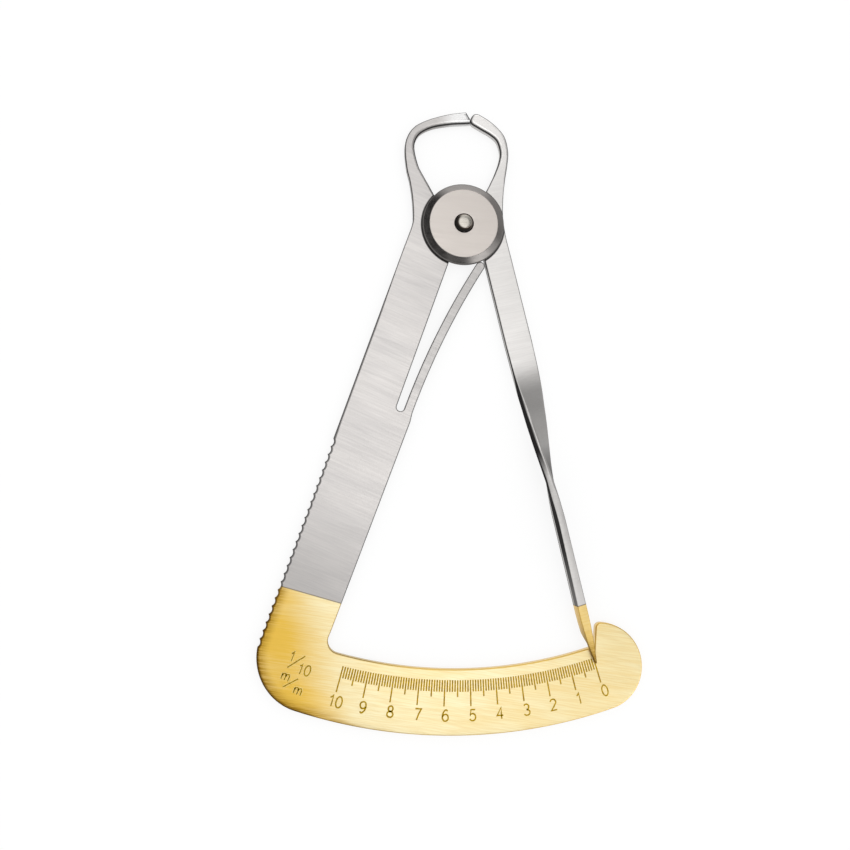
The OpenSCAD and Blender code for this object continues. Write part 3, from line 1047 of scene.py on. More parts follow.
@dataclass
class ScaleArm:
    """The scale arm: left jaw, waist, handle with grip teeth, arc scale and ear."""

    # Outer and lower inner side of the handle, waist, and width of the scale with its two corners.
    handle_out: float = 7.8
    handle_in_low: float = 2.15
    waist_out: float = 8.25
    waist_inner_round: float = 0.4
    scale_w: float = 10.15
    corner_r: float = 8.75
    inner_corner_r: float = 2.0
    # Lean of the zero mark, and the ear past it with its straight wall, upper corner and notch.
    zero_lean: float = 20.8
    ear_r: float = 6.9
    ear_past: float = 0.5
    ear_wall: float = 1.05
    ear_corner_r: float = 0.9
    ear_corner_from: float = 95
    notch_round: float = 0.08
    notch_above: float = 0.25
    notch_corner: Point = (-0.05, 0.12)
    # Grip teeth, those that go on round the corner, and the rounding of the outer edge.
    teeth_from: float = 40.0
    teeth_pitch: float = 1.32
    teeth_round_corner: int = 2
    teeth_cut_r: float = 0.9
    teeth_round: float = 0.34
    outer_round: float = 0.34
    round_from: int = 9
    round_len: float = 12
    # Jaw and its blunt tip, which is looked for between two places along the jaw.
    bow: float = 9.6
    jaw_w: float = 1.5
    tip_w: float = 1.97
    tip_slope: float = 15.0
    tip_at: float = -0.13
    tip_round: float = 0.4
    tip_outer_back: float = 0.42
    tip_inner_back: float = 0.12
    tip_between: Point = (7.0, 9.0)
    tip_nose: float = 0.58
    tip_halvings: int = 40
    tip_inset: float = 0.03
    # Gaps in degrees or millimetres that keep parts of the edge from running into each other.
    after_teeth: float = 0.15
    arc_after: float = 1.6
    arc_before: float = 0.3
    inner_after: float = 0.4
    inner_before: float = 0.1
    # Handle's inner edge, its way into the leaf's root, the slot beside the leaf and the eye.
    inner_from: float = 68.4
    root_blend: float = 2.2
    root_stops: Place = (1.6, 1.0, 0.45)
    slot_in: float = 0.12
    slot_from: float = 12
    eye_from: float = -104
    eye_to: float = 127
    # Hole of the rivet and its sunk head.
    rivet_r: float = 1.57
    head_r: float = 2.22
    head_h: float = 0.5

    def jaw(self) -> Jaw:
        """The left jaw.

        Returns:
            The jaw, a little past its tip.
        """
        bow, root, reach, width = self.bow, JAW_ROOT, JAW_REACH, self.jaw_w
        stations = [(-bow + 2.4, root - 1.6, 3.0), (-bow + 1.78, root + 0.1, 2.6),
                    (-bow + 0.82, root + 2.1, 2.1), (-bow + 0.02, reach - 6.9, width + 0.15),
                    (-bow + 0.05, reach - 4.9, width), (-bow + 1, reach - 3.15, width),
                    (-bow + 3.1, reach - 1.8, width), (-3.6, reach - 0.8, width + 0.28),
                    (-1.2, reach - 0.28, self.tip_w), (1.2, reach + 0.12, self.tip_w)]
        return Jaw(stations, [0.4, 0.4, 0.42, 0.44, 0.48, 0.55, 0.6, 0.62, 0.62, 0.62], -1.0, 0.5)

    def tip_ends(self, jaw: Jaw) -> tuple[EdgePoint, EdgePoint, EdgePoint, float, float]:
        """Points of the jaw's blunt end.

        Args:
            jaw: The left jaw.

        Returns:
            The outer corner, the inner corner and the foremost point between them, and the places
            along the jaw where the corners lie.
        """
        face = Vector(turned((1, 0), self.tip_slope))
        tip = Vector((self.tip_at, JAW_REACH))
        found = []
        for sign, back in ((-1.0, self.tip_outer_back), (1.0, self.tip_inner_back)):
            base = tip - face * back
            low, high = self.tip_between
            for _ in range(self.tip_halvings):
                middle = (low + high) / 2
                inside = (Vector(jaw.side(middle, sign).at) - base).dot(face) < 0
                low, high = (middle, high) if inside else (low, middle)
            corner = jaw.side(low, sign)
            corner.inner = tuple(Vector(corner.inner) - face * self.tip_round)
            found.append((corner, low))
        (outer, outer_u), (inner, inner_u) = found
        between = Vector(outer.at).lerp(Vector(inner.at), self.tip_nose)
        front = between + face * ((tip - between).dot(face))
        flat = Vector(outer.inner).lerp(Vector(inner.inner), 0.5)
        point = EdgePoint(tuple(front), self.tip_round, tuple(flat), outer.round)
        return outer, inner, point, outer_u, inner_u

    def teeth(self) -> tuple[list[EdgePoint], float]:
        """Grip teeth along the handle's outer edge.

        Returns:
            Their edge points, and the distance along the edge at which they end.
        """
        half = self.teeth_pitch / 2
        sink = math.sqrt(self.teeth_cut_r ** 2 - half ** 2)
        count = int((self.corner_s() - self.teeth_from) / self.teeth_pitch) + self.teeth_round_corner
        steps = 8
        made: list[EdgePoint] = []
        for i in range(count):
            centre = self.teeth_from + (i + 0.5) * self.teeth_pitch
            for k in range(steps + (i == count - 1)):
                pair = []
                for radius in (self.teeth_cut_r, self.teeth_cut_r + self.teeth_round):
                    limit = math.asin(half / radius)
                    a = mix(-limit, limit, k / steps)
                    depth = radius * math.cos(a) - sink
                    pair.append(self.on_edge(depth, centre + radius * math.sin(a)))
                made.append(EdgePoint(pair[0], self.teeth_round, pair[1]))
        return made, self.teeth_from + count * self.teeth_pitch

    def on_edge(self, depth: float, s: float) -> Point:
        """Point inside the handle's outer edge.

        Args:
            depth: Distance from the edge.
            s: Distance along the edge, also past the start of the corner.

        Returns:
            The point.
        """
        past = s - self.corner_s()
        if past <= 0:
            return on_handle(depth - self.handle_out, s)
        x, y = on_handle(self.corner_r - self.handle_out, self.corner_s())
        turn = 180 - HANDLE_LEAN + math.degrees(past / self.corner_r)
        dx, dy = turned((self.corner_r - depth, 0), turn)
        return x + dx, y + dy

    def corner_s(self) -> float:
        """Distance along the handle to the start of its outer corner."""
        reach = SCALE_R + self.scale_w - self.corner_r
        return math.sqrt(reach ** 2 - (self.corner_r - self.handle_out) ** 2)

    def left_edge(self, jaw: Jaw, tip_u: float) -> list[EdgePoint]:
        """Edge from the jaw's tip down the jaw, the waist and the handle to the outer corner.

        Args:
            jaw: The left jaw.
            tip_u: Place of the tip's outer corner along the jaw.

        Returns:
            The edge points.
        """
        waist_steps, corner_steps = 8, 32
        out = self.handle_out
        waist = along([on_handle(-out, 7), on_handle(-out, 3), (-self.waist_out, 0.9),
                       (-self.waist_out - 0.37, JAW_ROOT - 2.5), (-self.bow + 0.42, JAW_ROOT),
                       (-self.bow + 0.1, JAW_ROOT + 1)], waist_steps)
        edge = jaw.run(tip_u - self.tip_inset, jaw.waist_u, -1.0)
        edge += plain_edge(list(reversed(waist)))
        start = self.round_from
        widening = Ramp(start, start + self.round_len, EDGE_ROUND, self.outer_round)
        for s in range(start, int(self.teeth_from) - 1, 2):
            edge.append(EdgePoint(on_handle(-out, s), widening.at(s)))
        teeth, end = self.teeth()
        edge += teeth
        inside = self.corner_r - out
        below = math.degrees(math.asin(inside / (SCALE_R + self.scale_w - self.corner_r)))
        turn = 180 - HANDLE_LEAN
        first = turn + math.degrees((end - self.corner_s() + self.after_teeth) / self.corner_r)
        centre = on_handle(inside, self.corner_s())
        corner = arc(centre, self.corner_r - SKIN, first, turn + 90 + below, corner_steps)
        narrowing = Ramp(0, corner_steps, self.outer_round, EDGE_ROUND)
        edge += [EdgePoint(point, narrowing.at(k)) for k, point in enumerate(corner)]
        return edge

    def scale_edge(self) -> list[EdgePoint]:
        """Edge of the scale: outer arc, ear, notch, inner arc and inner corner.

        Returns:
            The edge points.
        """
        arc_steps, ear_steps, ear_corner_steps, wall_steps, notch_steps, corner_steps = 72, 60, 12, 8, 6, 16
        out_r = SCALE_R + self.scale_w
        last = self.zero_lean + self.ear_past
        ear = Vector(polar(out_r - self.ear_r, last))
        ear_x = ear.x - self.ear_wall
        reach = self.ear_r - self.ear_corner_r
        top_y = ear.y + math.sqrt(reach ** 2 - (self.ear_corner_r - self.ear_wall) ** 2)
        top = Vector((ear_x + self.ear_corner_r, top_y))
        first = -HANDLE_LEAN + self.arc_after
        edge = plain_edge(pivot_arc(out_r - SKIN, first, last - self.arc_before, arc_steps))
        ear_end = math.degrees(math.atan2(top.y - ear.y, top.x - ear.x))
        edge += plain_edge(arc(tuple(ear), self.ear_r - SKIN, last - 90, ear_end, ear_steps))
        edge += plain_edge(arc(tuple(top), self.ear_corner_r, self.ear_corner_from, 180, ear_corner_steps))
        notch_r = ear_x / math.sin(math.radians(self.zero_lean))
        notch = Vector(polar(notch_r, self.zero_lean))
        edge += plain_edge([(ear_x, mix(top_y, notch.y, k / wall_steps)) for k in range(1, wall_steps)])
        foot = [(ear_x, notch.y + self.notch_above), tuple(notch + Vector(self.notch_corner))]
        for k in range(1, notch_steps + 1):
            foot.append(polar(mix(notch_r, SCALE_R, k / notch_steps), self.zero_lean))
        edge += plain_edge(foot, self.notch_round)
        side = self.handle_in_low + self.inner_corner_r
        inner_reach = SCALE_R - self.inner_corner_r
        end = math.degrees(math.asin(side / inner_reach)) - HANDLE_LEAN
        first = self.zero_lean - self.inner_after
        edge += plain_edge(pivot_arc(SCALE_R, first, end + self.inner_before, arc_steps))
        centre = on_handle(side, math.sqrt(inner_reach ** 2 - side ** 2))
        edge += plain_edge(arc(centre, self.inner_corner_r, end - 90, -180 - HANDLE_LEAN, corner_steps))
        return edge

    def inner_edge(self, leaf: "LeafSpring") -> list[EdgePoint]:
        """Edge up the handle's inner side, across the leaf's root, round the slot and up to the eye.

        Args:
            leaf: The leaf that starts on this arm.

        Returns:
            The edge points.
        """
        line_steps, slot_steps = 17, 14
        root = leaf.root_s
        upper = root + self.root_blend
        lines = []
        for k in range(line_steps + 1):
            s = mix(self.inner_from, upper, k / line_steps)
            share = (s - root) / (SCALE_R - root)
            lines.append(on_handle(mix(HANDLE_IN, self.handle_in_low, share), s))
        for s in (root + stop for stop in self.root_stops):
            lines.append(on_handle(HANDLE_IN - leaf.step * smooth((upper - s) / self.root_blend), s))
        edge = plain_edge(lines)
        edge += leaf.root_corners()
        slot_r = (HANDLE_IN - leaf.step - leaf.width + self.slot_in) / 2
        middle = on_handle(slot_r - self.slot_in, root)
        first = -HANDLE_LEAN - self.slot_from
        edge += plain_edge(arc(middle, slot_r, first, -HANDLE_LEAN - 180, slot_steps))
        end = math.sqrt(EYE_R ** 2 - self.slot_in ** 2)
        edge += plain_edge([on_handle(-self.slot_in, mix(root, end, k / slot_steps))
                            for k in range(1, slot_steps + 1)])
        return edge

    def eye_edge(self, jaw: Jaw, tip_u: float) -> list[EdgePoint]:
        """Edge round the eye, up the waist's inner side and the jaw's inner side to its tip.

        Args:
            jaw: The left jaw.
            tip_u: Place of the tip's inner corner along the jaw.

        Returns:
            The edge points.
        """
        eye_steps = 60
        waist = [(-3.6, 3.56), (-4.4, 3.6), (-5.2, 4.83), (-6.0, 6.07), (-6.62, 6.98)]
        edge = plain_edge(arc((0, 0), EYE_R, self.eye_from, self.eye_to, eye_steps))
        edge += plain_edge(waist, self.waist_inner_round)
        return edge + jaw.run(jaw.waist_u, tip_u - self.tip_inset, 1.0)

    def build(self, leaf: "LeafSpring") -> Piece:
        """Makes the arm.

        Args:
            leaf: The leaf that starts on this arm.

        Returns:
            The object.
        """
        jaw = self.jaw()
        outer, inner, front, outer_u, inner_u = self.tip_ends(jaw)
        edge = [outer] + self.left_edge(jaw, outer_u) + self.scale_edge() + self.inner_edge(leaf)
        edge += self.eye_edge(jaw, inner_u) + [inner, front]
        shell = Shell()
        add_plate(shell, edge)
        arm = shell.build("scale_arm_steel")
        pocket = [(0, LAP_Z), (POCKET_R, LAP_Z), (POCKET_R, PAST_FRONT), (0, PAST_FRONT)]
        hole = [(0, PAST_BACK), (self.head_r, PAST_BACK), (self.head_r, 0), (self.rivet_r, self.head_h),
                (self.rivet_r, PAST_FRONT), (0, PAST_FRONT)]
        cut(arm, [turned_cutter("pocket", pocket, POCKET_SEGMENTS),
                  turned_cutter("hole", hole, HOLE_SEGMENTS)])
        return arm

    def dress(self, arm: Piece, material: Material) -> None:
        """Gives the arm its material and its body."""
        dress_rigid(arm, material, "scale_arm", Body.SCALE)


@dataclass
class LeafSpring:
    """The leaf: an arc from the handle's inner edge to the pointer arm."""

    # Its root along the handle, width, first lean, step inside the handle's edge, its touch along the
    # bar, gap to the bar, the bar's inner side, and the share of its length over which it bends.
    root_s: float = 31.65
    width: float = 1.45
    lean: float = 16.0
    step: float = 0.2
    touch: float = 7.2
    gap: float = 0.24
    bar_in: float = 2.14
    bend_share: float = 0.34

    def __post_init__(self) -> None:
        """Works out the arc."""
        self.start = Vector(on_handle(HANDLE_IN - self.step - self.width / 2, self.root_s))
        self.end = Vector(on_bar(self.bar_in - self.gap - self.width / 2, self.touch))
        chord = self.end - self.start
        self.sweep = 2 * (math.degrees(math.atan2(chord.x, chord.y)) - self.lean)
        self.radius = chord.length / 2 / math.sin(math.radians(self.sweep / 2))
        self.middle = self.start + self.radius * Vector(turned((1, 0), -self.lean))

    def at(self, share: float, side: float) -> Point:
        """Point at a share of the leaf's length, a distance to the right of its middle line."""
        way = Vector(turned((-1, 0), -self.lean - share * self.sweep))
        return tuple(self.middle + (self.radius - side) * way)

    def root_corners(self) -> tuple[EdgePoint, EdgePoint]:
        """The two corners at which the leaf leaves the handle.

        Returns:
            The right and the left corner.
        """
        half, inset = self.width / 2, self.width / 2 - EDGE_ROUND
        corners = [EdgePoint(self.at(0, k * half), EDGE_ROUND, self.at(0, k * inset)) for k in (1.0, -1.0)]
        return corners[0], corners[1]

    def build(self) -> Piece:
        """Makes the leaf.

        Returns:
            The object.
        """
        steps, end_steps = 40, 14
        half = self.width / 2
        right, left = self.root_corners()
        edge = [right] + plain_edge([self.at(k / steps, half) for k in range(1, steps)])
        up = 90 - self.lean - self.sweep
        edge += plain_edge(arc(tuple(self.end), half, up - 90, up + 90, end_steps))
        edge += plain_edge([self.at(k / steps, -half) for k in range(steps - 1, 0, -1)]) + [left]
        shell = Shell()
        add_plate(shell, edge)
        return shell.build("leaf_spring_steel")

    def dress(self, leaf: Piece, material: Material) -> None:
        """Gives the leaf its material, bakes its place into its mesh and hides the solid that it stands
        for.

        Args:
            leaf: The leaf.
            material: Its material.
        """
        finish_piece(leaf, material)
        start = Vector((*self.at(0, 0), 0)) * MM
        end = Vector((*self.at(self.bend_share, 0), 0)) * MM
        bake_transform(leaf)
        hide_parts("leaf_spring")


@dataclass
class PointerArm:
    """The pointer arm: right jaw, flat bar, quarter twist, on-edge blade and nib."""

    # The bar's place and width, where its sides start below the pivot, and its taper and twist.
    bar_off: float = 4.34
    bar_w: float = 4.4
    bar_right_to: float = 8
    bar_left_from: float = 5
    taper_from: float = 21.0
    taper_len: float = 24.0
    twist_from: float = 22.5
    twist_len: float = 28.5
    shift_len: float = 20.0
    # The blade on edge: depth, thickness, shift to the left, and its rounding by the twist.
    blade_d: float = 3.5
    blade_t: float = 1.25
    blade_shift: float = 0.68
    blade_steps: int = 110
    twist_share: float = 0.34
    twist_round: Point = (0, 25)
    edge_share: float = 0.2
    edge_round: Point = (72, 86)
    # The nib and its tip, which stands clear of the scale from a little inside it.
    nib_len: float = 8.4
    nib_d: float = 2.7
    nib_t: float = 1.5
    nib_power: float = 2.2
    tip_t: float = 0.2
    tip_d: float = 0.6
    tip_clear: float = 0.15
    tip_over: float = 2.4
    tip_bend: float = 0.15
    clear_in: float = 1.0
    rise_len: float = 1.2
    # The jaw and its round tip, and the gap between the tips of the two jaws.
    bow: float = 6.0
    jaw_w: float = 1.4
    bulb_w: float = 2.2
    bulb_x: float = 0.4
    bulb_lean: float = 24.0
    bulb_back: float = 0.25
    bulb_reach: float = 0.8
    bulb_power: float = 0.75
    bulb_round: float = 0.55
    bulb_inset: float = 0.42
    bulb_rise: float = 0.62
    bulb_step: int = 12
    tip_gap: float = 0.1
    # The waist's inner side, the start of the eye and the hole of the rivet.
    waist_inner_round: float = 0.22
    eye_from: float = 61
    rivet_r: float = 1.59
    # Painted shade of the twisted bar, kept in its wall mask, by the place along it and by the lean of its
    # surface.
    top_tone: Ramp = Ramp(46, 56, 0.11, 0.025)
    top_start: Ramp = Ramp(40, 46)
    left_tone: Ramp = Ramp(52, 65, 1.04, 0.7)
    left_lean: Ramp = Ramp(14, 38)
    right_lean: Ramp = Ramp(4, 13, 0.0, 0.34)
    right_steep: Ramp = Ramp(28, 78, 0.0, 0.8)
    back_lean: Ramp = Ramp(100, 140, 1.0, 0.0)

    @property
    def tip_s(self) -> float:
        """Distance along the bar to the pointer's tip."""
        return math.sqrt((SCALE_R + self.tip_over) ** 2 - self.bar_off ** 2)

    @property
    def bulb_c(self) -> Vector:
        """Middle of the right jaw's round tip."""
        return Vector((self.bulb_x * self.bulb_w + self.tip_gap / 2, JAW_REACH - self.bulb_back))

    def jaw(self) -> Jaw:
        """The right jaw.

        Returns:
            The jaw, up to the middle of its round tip.
        """
        bow, root, reach, width = self.bow, JAW_ROOT, JAW_REACH, self.jaw_w
        bulb = self.bulb_c
        stations = [(bow - 1.2, root - 1.6, 2.7), (bow - 0.93, root + 0.2, 2.55),
                    (bow - 0.48, root + 2.4, 1.95), (bow - 0.05, reach - 7.2, width + 0.1),
                    (bow, reach - 5.2, width), (bow - 0.73, reach - 3.05, width + 0.2),
                    (bow - 2.05, reach - 1.82, width + 0.5), (bulb.x + 1.5, bulb.y - 0.7, self.bulb_w),
                    (bulb.x, bulb.y, self.bulb_w)]
        return Jaw(stations, [0.24, 0.25, 0.28, 0.34, 0.42, 0.48, 0.52, 0.55, 0.55], 1.0, 0.85)

    def bulb(self) -> list[EdgePoint]:
        """Edge round the right jaw's tip.

        Returns:
            The edge points from its outer to its inner side.
        """
        half = self.bulb_w / 2
        way = Vector(turned((-1, 0), -self.bulb_lean))
        side = Vector((way.y, -way.x))
        angles = list(range(self.bulb_step, 90, self.bulb_step))
        made = []
        for sign, order in ((1, angles), (-1, list(reversed(angles)))):
            for degrees in order:
                a = math.radians(degrees)
                reach = self.bulb_reach * half * math.sin(a)
                out = sign * (half - 2 * SKIN) * math.cos(a) ** self.bulb_power
                at = self.bulb_c + way * reach + side * out
                inner = self.bulb_c + way * (reach - self.bulb_inset * math.sin(a)) + side * out * 0.5
                rise = mix(self.bulb_round, self.bulb_rise, degrees / angles[-1])
                made.append(EdgePoint(tuple(at), self.bulb_round, tuple(inner), rise))
        return made

    def outline(self) -> list[EdgePoint]:
        """Edge from the bar's right side over the jaw and the eye to the bar's left side.

        Returns:
            The edge points.
        """
        right_steps, waist_steps, eye_steps, left_steps = 8, 8, 66, 9
        right = self.bar_off + self.bar_w / 2
        left = self.bar_off - self.bar_w / 2
        bow = self.bow
        edge = plain_edge([on_bar(right, mix(self.taper_from, self.bar_right_to, k / right_steps))
                           for k in range(right_steps + 1)])
        edge += plain_edge(along([on_bar(right, 7), on_bar(right, 3), (bow + 0.53, 2.2), (bow + 0.38, 4.4),
                                  (bow + 0.36, JAW_ROOT), (bow + 0.4, JAW_ROOT + 1)], waist_steps))
        jaw = self.jaw()
        tip = len(jaw.stations) - 1.0
        edge += jaw.run(jaw.waist_u, tip, 1.0) + self.bulb() + jaw.run(tip, jaw.waist_u, -1.0)
        edge += plain_edge([(bow - 2.12, JAW_ROOT + 0.8), (3.1, 5.36), (2.4, 4.0)], self.waist_inner_round)
        end = math.degrees(math.atan2(left, math.sqrt(EYE_R ** 2 - left ** 2))) - 90 + BAR_LEAN
        edge += plain_edge(arc((0, 0), EYE_R, self.eye_from, 360 + end, eye_steps))
        edge += plain_edge([on_bar(left, mix(self.bar_left_from, self.taper_from, k / left_steps))
                            for k in range(left_steps + 1)])
        return edge

    def blade(self, s: float) -> tuple[float, float, float, float, float]:
        """Section of the bar at a distance along it.

        Args:
            s: Distance from the pivot.

        Returns:
            Place across, depth, thickness, twist in degrees and the height of its lowest side.
        """
        nib_s = self.tip_s - self.nib_len
        straight = self.twist_from + self.twist_len
        t = smooth((s - self.twist_from) / self.twist_len)
        on_edge = clamp01((s - straight) / (nib_s - straight))
        nib = clamp01((s - nib_s) / self.nib_len)
        clear_s = math.sqrt((SCALE_R - self.clear_in) ** 2 - self.bar_off ** 2)
        floor = PLATE_T + self.tip_clear
        low = floor * clamp01((s - clear_s + self.rise_len) / self.rise_len)
        width = mix(self.bar_w, self.blade_d, clamp01((s - self.taper_from) / self.taper_len))
        depth = mix(width, self.nib_d, on_edge)
        if nib > 0:
            depth = mix(self.nib_d, floor + self.tip_d, nib) - low
        thick = mix(mix(PLATE_T, self.blade_t, t), self.nib_t, on_edge)
        thick = mix(thick, self.tip_t, nib ** self.nib_power)
        line = self.bar_off - self.blade_shift * smooth((s - self.twist_from) / self.shift_len)
        return line + self.tip_bend * nib * nib, depth, thick, 90 * t, low

    def blade_ring(self, shell: Shell, s: float) -> list[int]:
        """Adds the points of one section of the bar.

        Args:
            shell: Mesh that gets the points.
            s: Distance along the bar.

        Returns:
            Indices up the right side and down the left side.
        """
        across, depth, thick, twist, low = self.blade(s)
        c, d = turned((1, 0), twist)
        least = min(depth, thick)
        radius = Ramp(*self.twist_round, EDGE_ROUND, self.twist_share * least).at(twist)
        radius = Ramp(*self.edge_round, radius, min(EDGE_ROUND, self.edge_share * least)).at(twist)
        middle = low + depth / 2 * d + thick / 2 * c
        made = []
        for side, face in ((1, -1), (1, 1), (-1, 1), (-1, -1)):
            corner = [(depth / 2 - radius - HOLD, thick / 2, 0.0)]
            for inset, lift, wall in rounding():
                corner.append((depth / 2 - radius * inset, thick / 2 - radius * lift, math.asin(wall)))
            for p, q, a in (corner if side != face else reversed(corner)):
                x, y = on_bar(across + side * p * c + face * q * d, s)
                way_x = side * math.sin(a) * c + face * math.cos(a) * d
                way_z = face * math.cos(a) * c - side * math.sin(a) * d
                # Painted shade by the lean of the surface.
                shade = self.shade(math.degrees(math.atan2(-way_x, way_z)), s)
                made.append(shell.add((x, y, middle - side * p * d + face * q * c), shade))
        return made

    def shade(self, lean: float, s: float) -> float:
        """Painted shade of the twisted bar, as its wall mask.

        Args:
            lean: Lean of the surface to the left, in degrees from facing up.
            s: Distance along the bar.

        Returns:
            How much painted shade the surface gets: most where it faces left, less towards the nib and on
                the back.
        """
        top = self.top_tone.at(s) * self.top_start.at(s)
        left = self.left_tone.at(s) * self.left_lean.at(lean)
        right = max(self.right_lean.at(-lean), self.right_steep.at(-lean))
        return max(top, max(left, right) * self.back_lean.at(abs(lean)))

    def build(self) -> Piece:
        """Makes the arm.

        Returns:
            The object.
        """
        shell = Shell()
        rows = add_plate(shell, self.outline(), closed=False)
        ring = [row[0] for row in rows] + [row[-1] for row in reversed(rows)]
        for k in range(1, self.blade_steps + 1):
            following = self.blade_ring(shell, mix(self.taper_from, self.tip_s, k / self.blade_steps))
            shell.add_strip(ring, following, True)
            ring = following
        shell.faces.append(tuple(ring))
        arm = shell.build("pointer_arm_steel")
        lap, low = LAP_Z + LAP_GAP, 1.5 * PAST_BACK
        pocket = [(0, PAST_BACK), (POCKET_R, PAST_BACK), (POCKET_R, lap), (0, lap)]
        hole = [(0, low), (self.rivet_r, low), (self.rivet_r, PAST_FRONT), (0, PAST_FRONT)]
        cut(arm, [turned_cutter("pocket", pocket, POCKET_SEGMENTS),
                  turned_cutter("hole", hole, HOLE_SEGMENTS)])
        return arm

    def dress(self, arm: Piece, material: Material) -> None:
        """Gives the arm its material and its body."""
        dress_rigid(arm, material, "pointer_arm", Body.POINTER)


@dataclass
class Pivot:
    """The bevelled disc and the rivet.

    The rows of the profiles are radius, height and wall mask, the mask standing for painted shade.
    """

    # The disc, the rivet with its sunk head and its end, and the painted shade on one side of the end, by
    # its direction.
    disc_r: float = 6.7
    face_r: float = 5.6
    disc_z: float = 1.56
    disc_t: float = 1.1
    bevel_h: float = 0.65
    rivet_r: float = 1.55
    head_r: float = 2.2
    head_h: float = 0.5
    end_h: float = 0.9
    end_r: float = 1.05
    seat_gap: float = 0.02
    segments: int = 128
    dark_way: float = 232
    lit_side: Ramp = Ramp(78, 112, 1.0, 0.16)

    @property
    def top(self) -> float:
        """Height of the disc's face."""
        return self.disc_z + self.disc_t

    def rivet_share(self, angle: float, z: float) -> float:
        """Share of the painted wall shade that a place on the rivet keeps.

        Args:
            angle: Direction of the place in degrees.
            z: Height of the place.

        Returns:
            1 below the disc's face and on the side of the end with painted shade, and less on its other,
            lit side.
        """
        if z <= self.top:
            return 1.0
        return self.lit_side.at(abs((angle - self.dark_way + 180) % 360 - 180))

    def build_disc(self) -> Piece:
        """Makes the disc.

        Returns:
            The object.
        """
        top, low, out, face = self.top, self.disc_z, self.disc_r, self.face_r
        wall_top = top - self.bevel_h
        bore = self.rivet_r + self.seat_gap
        # Wall masks paint shade on the disc's outer wall, bevel and bore.
        profile = [(bore, low, 0.6), (out - 0.12, low, 0.6), (out - 0.03, low + 0.03, 1.6),
                   (out, low + 0.12, 1.6), (out, wall_top - 0.1, 1.6), (out - 0.03, wall_top - 0.02, 1.6),
                   (out - 0.1, wall_top + 0.05, 1.5), (out - 0.2, wall_top + 0.115, 1.0),
                   (face + 0.08, top - 0.05, 1.0), (face + 0.03, top - 0.02, 0.7), (face - 0.03, top, 0.15),
                   (face - 0.1, top, 0.0), (bore + 0.3, top, 0.0), (bore + 0.04, top, 0.0),
                   (bore, top - 0.04, 1.2)]
        return revolve("pivot_disc_satin", profile, self.segments)

    def build_rivet(self) -> Piece:
        """Makes the rivet.

        Returns:
            The object.
        """
        head, shank, tip = self.head_r, self.rivet_r, self.end_r
        end = self.top + self.end_h
        # Wall masks paint shade on the rivet's head edge, shank and end.
        profile = [(0, 0, 0.0), (head - 0.12, 0, 0.0), (head - 0.03, 0.02, 0.6), (shank, self.head_h, 1.0),
                   (shank, self.top, 2.2), (tip + 0.2, end - 0.3, 2.2), (tip + 0.13, end - 0.18, 1.9),
                   (tip + 0.04, end - 0.09, 0.8), (tip - 0.04, end - 0.05, 0.1),
                   (tip - 0.16, end - 0.02, 0.0), (0.5 * tip, end, 0.0), (0, end, 0.0)]
        return revolve("pivot_rivet_polished", profile, self.segments // 2, self.rivet_share)

    def dress(self, piece: Piece, material: Material, node: str) -> None:
        """Gives a piece of the pivot its material and its body."""
        dress_rigid(piece, material, node, Body.SCALE)


def loop(cx: float, cy: float, rx: float, ry: float, start: float = 0, end: float = 360) -> list[Point]:
    """Points of an ellipse or a part of it, in a sign's own box.

    Args:
        cx: Its middle across.
        cy: Its middle up.
        rx: Half its width.
        ry: Half its height.
        start: First angle from the right, in degrees.
        end: Last angle, above start for an anticlockwise part.

    Returns:
        The points.
    """
    count = max(round(abs(end - start) / LOOP_ANGLE), LOOP_LEAST)
    return [(cx + rx * x, cy + ry * y) for x, y in arc((0, 0), 1, start, end, count)]


def hook(points: Sequence[Point]) -> list[Point]:
    """Points of a smooth stroke through a few points."""
    return along(points, HOOK_STEPS)


# Angle of one step of a loop, its least steps, the steps between two points of a hook, and the distance
# below which two ends of a stroke are one spot.
LOOP_ANGLE = 15
LOOP_LEAST = 4
HOOK_STEPS = 5
SAME_SPOT = 1e-6

# Signs in boxes that are as high as a number, and the places of the unit sign's own signs and bars.
SIX = hook([(0.5, 0.9), (0.33, 1.0), (0.12, 0.78), (0.03, 0.38), (0.12, 0.08), (0.31, 0.0), (0.52, 0.11),
            (0.57, 0.32), (0.48, 0.54), (0.3, 0.61), (0.12, 0.52), (0.05, 0.38)])
SIGNS: dict[str, list[list[Point]]] = {
    "0": [loop(0.3, 0.5, 0.27, 0.5)],
    "1": [[(0.1, 0.76), (0.22, 0.84), (0.33, 1.0), (0.33, 0.0)]],
    "2": [loop(0.3, 0.73, 0.26, 0.27, 165, -30) + [(0.3, 0.31), (0.04, 0.0), (0.57, 0.0)]],
    "3": [loop(0.28, 0.755, 0.23, 0.245, 150, -90) + loop(0.28, 0.255, 0.28, 0.255, 90, -155)],
    "4": [[(0.43, 0.0), (0.43, 1.0), (0.02, 0.3), (0.6, 0.3)]],
    "5": [[(0.53, 1.0), (0.15, 1.0), (0.08, 0.53)] + loop(0.28, 0.32, 0.29, 0.32, 128, -152)],
    "6": [SIX],
    "7": [[(0.03, 1.0), (0.57, 1.0), (0.37, 0.52), (0.22, 0.0)]],
    "8": [loop(0.3, 0.76, 0.21, 0.24), loop(0.3, 0.26, 0.27, 0.26)],
    "9": [[(0.6 - x, 1.0 - y) for x, y in SIX]],
    "m": [[(0.0, 0.0), (0.0, 0.62)],
          hook([(0.0, 0.4), (0.1, 0.57), (0.24, 0.62), (0.34, 0.5), (0.35, 0.0)]),
          hook([(0.35, 0.4), (0.45, 0.57), (0.59, 0.62), (0.69, 0.5), (0.7, 0.0)])],
}
UNIT_LEAN = -16.5
UNIT_SIGNS = (("1", (-22.35, -71.2), 1.5), ("1", (-20.95, -73.05), 1.55), ("0", (-19.95, -73.3), 1.6),
              ("m", (-23.24, -74.09), 1.6), ("m", (-21.19, -76.14), 1.6))
UNIT_BARS = (((-22.39, -72.31), (-19.77, -70.45)), ((-22.83, -75.3), (-20.6, -73.96)))


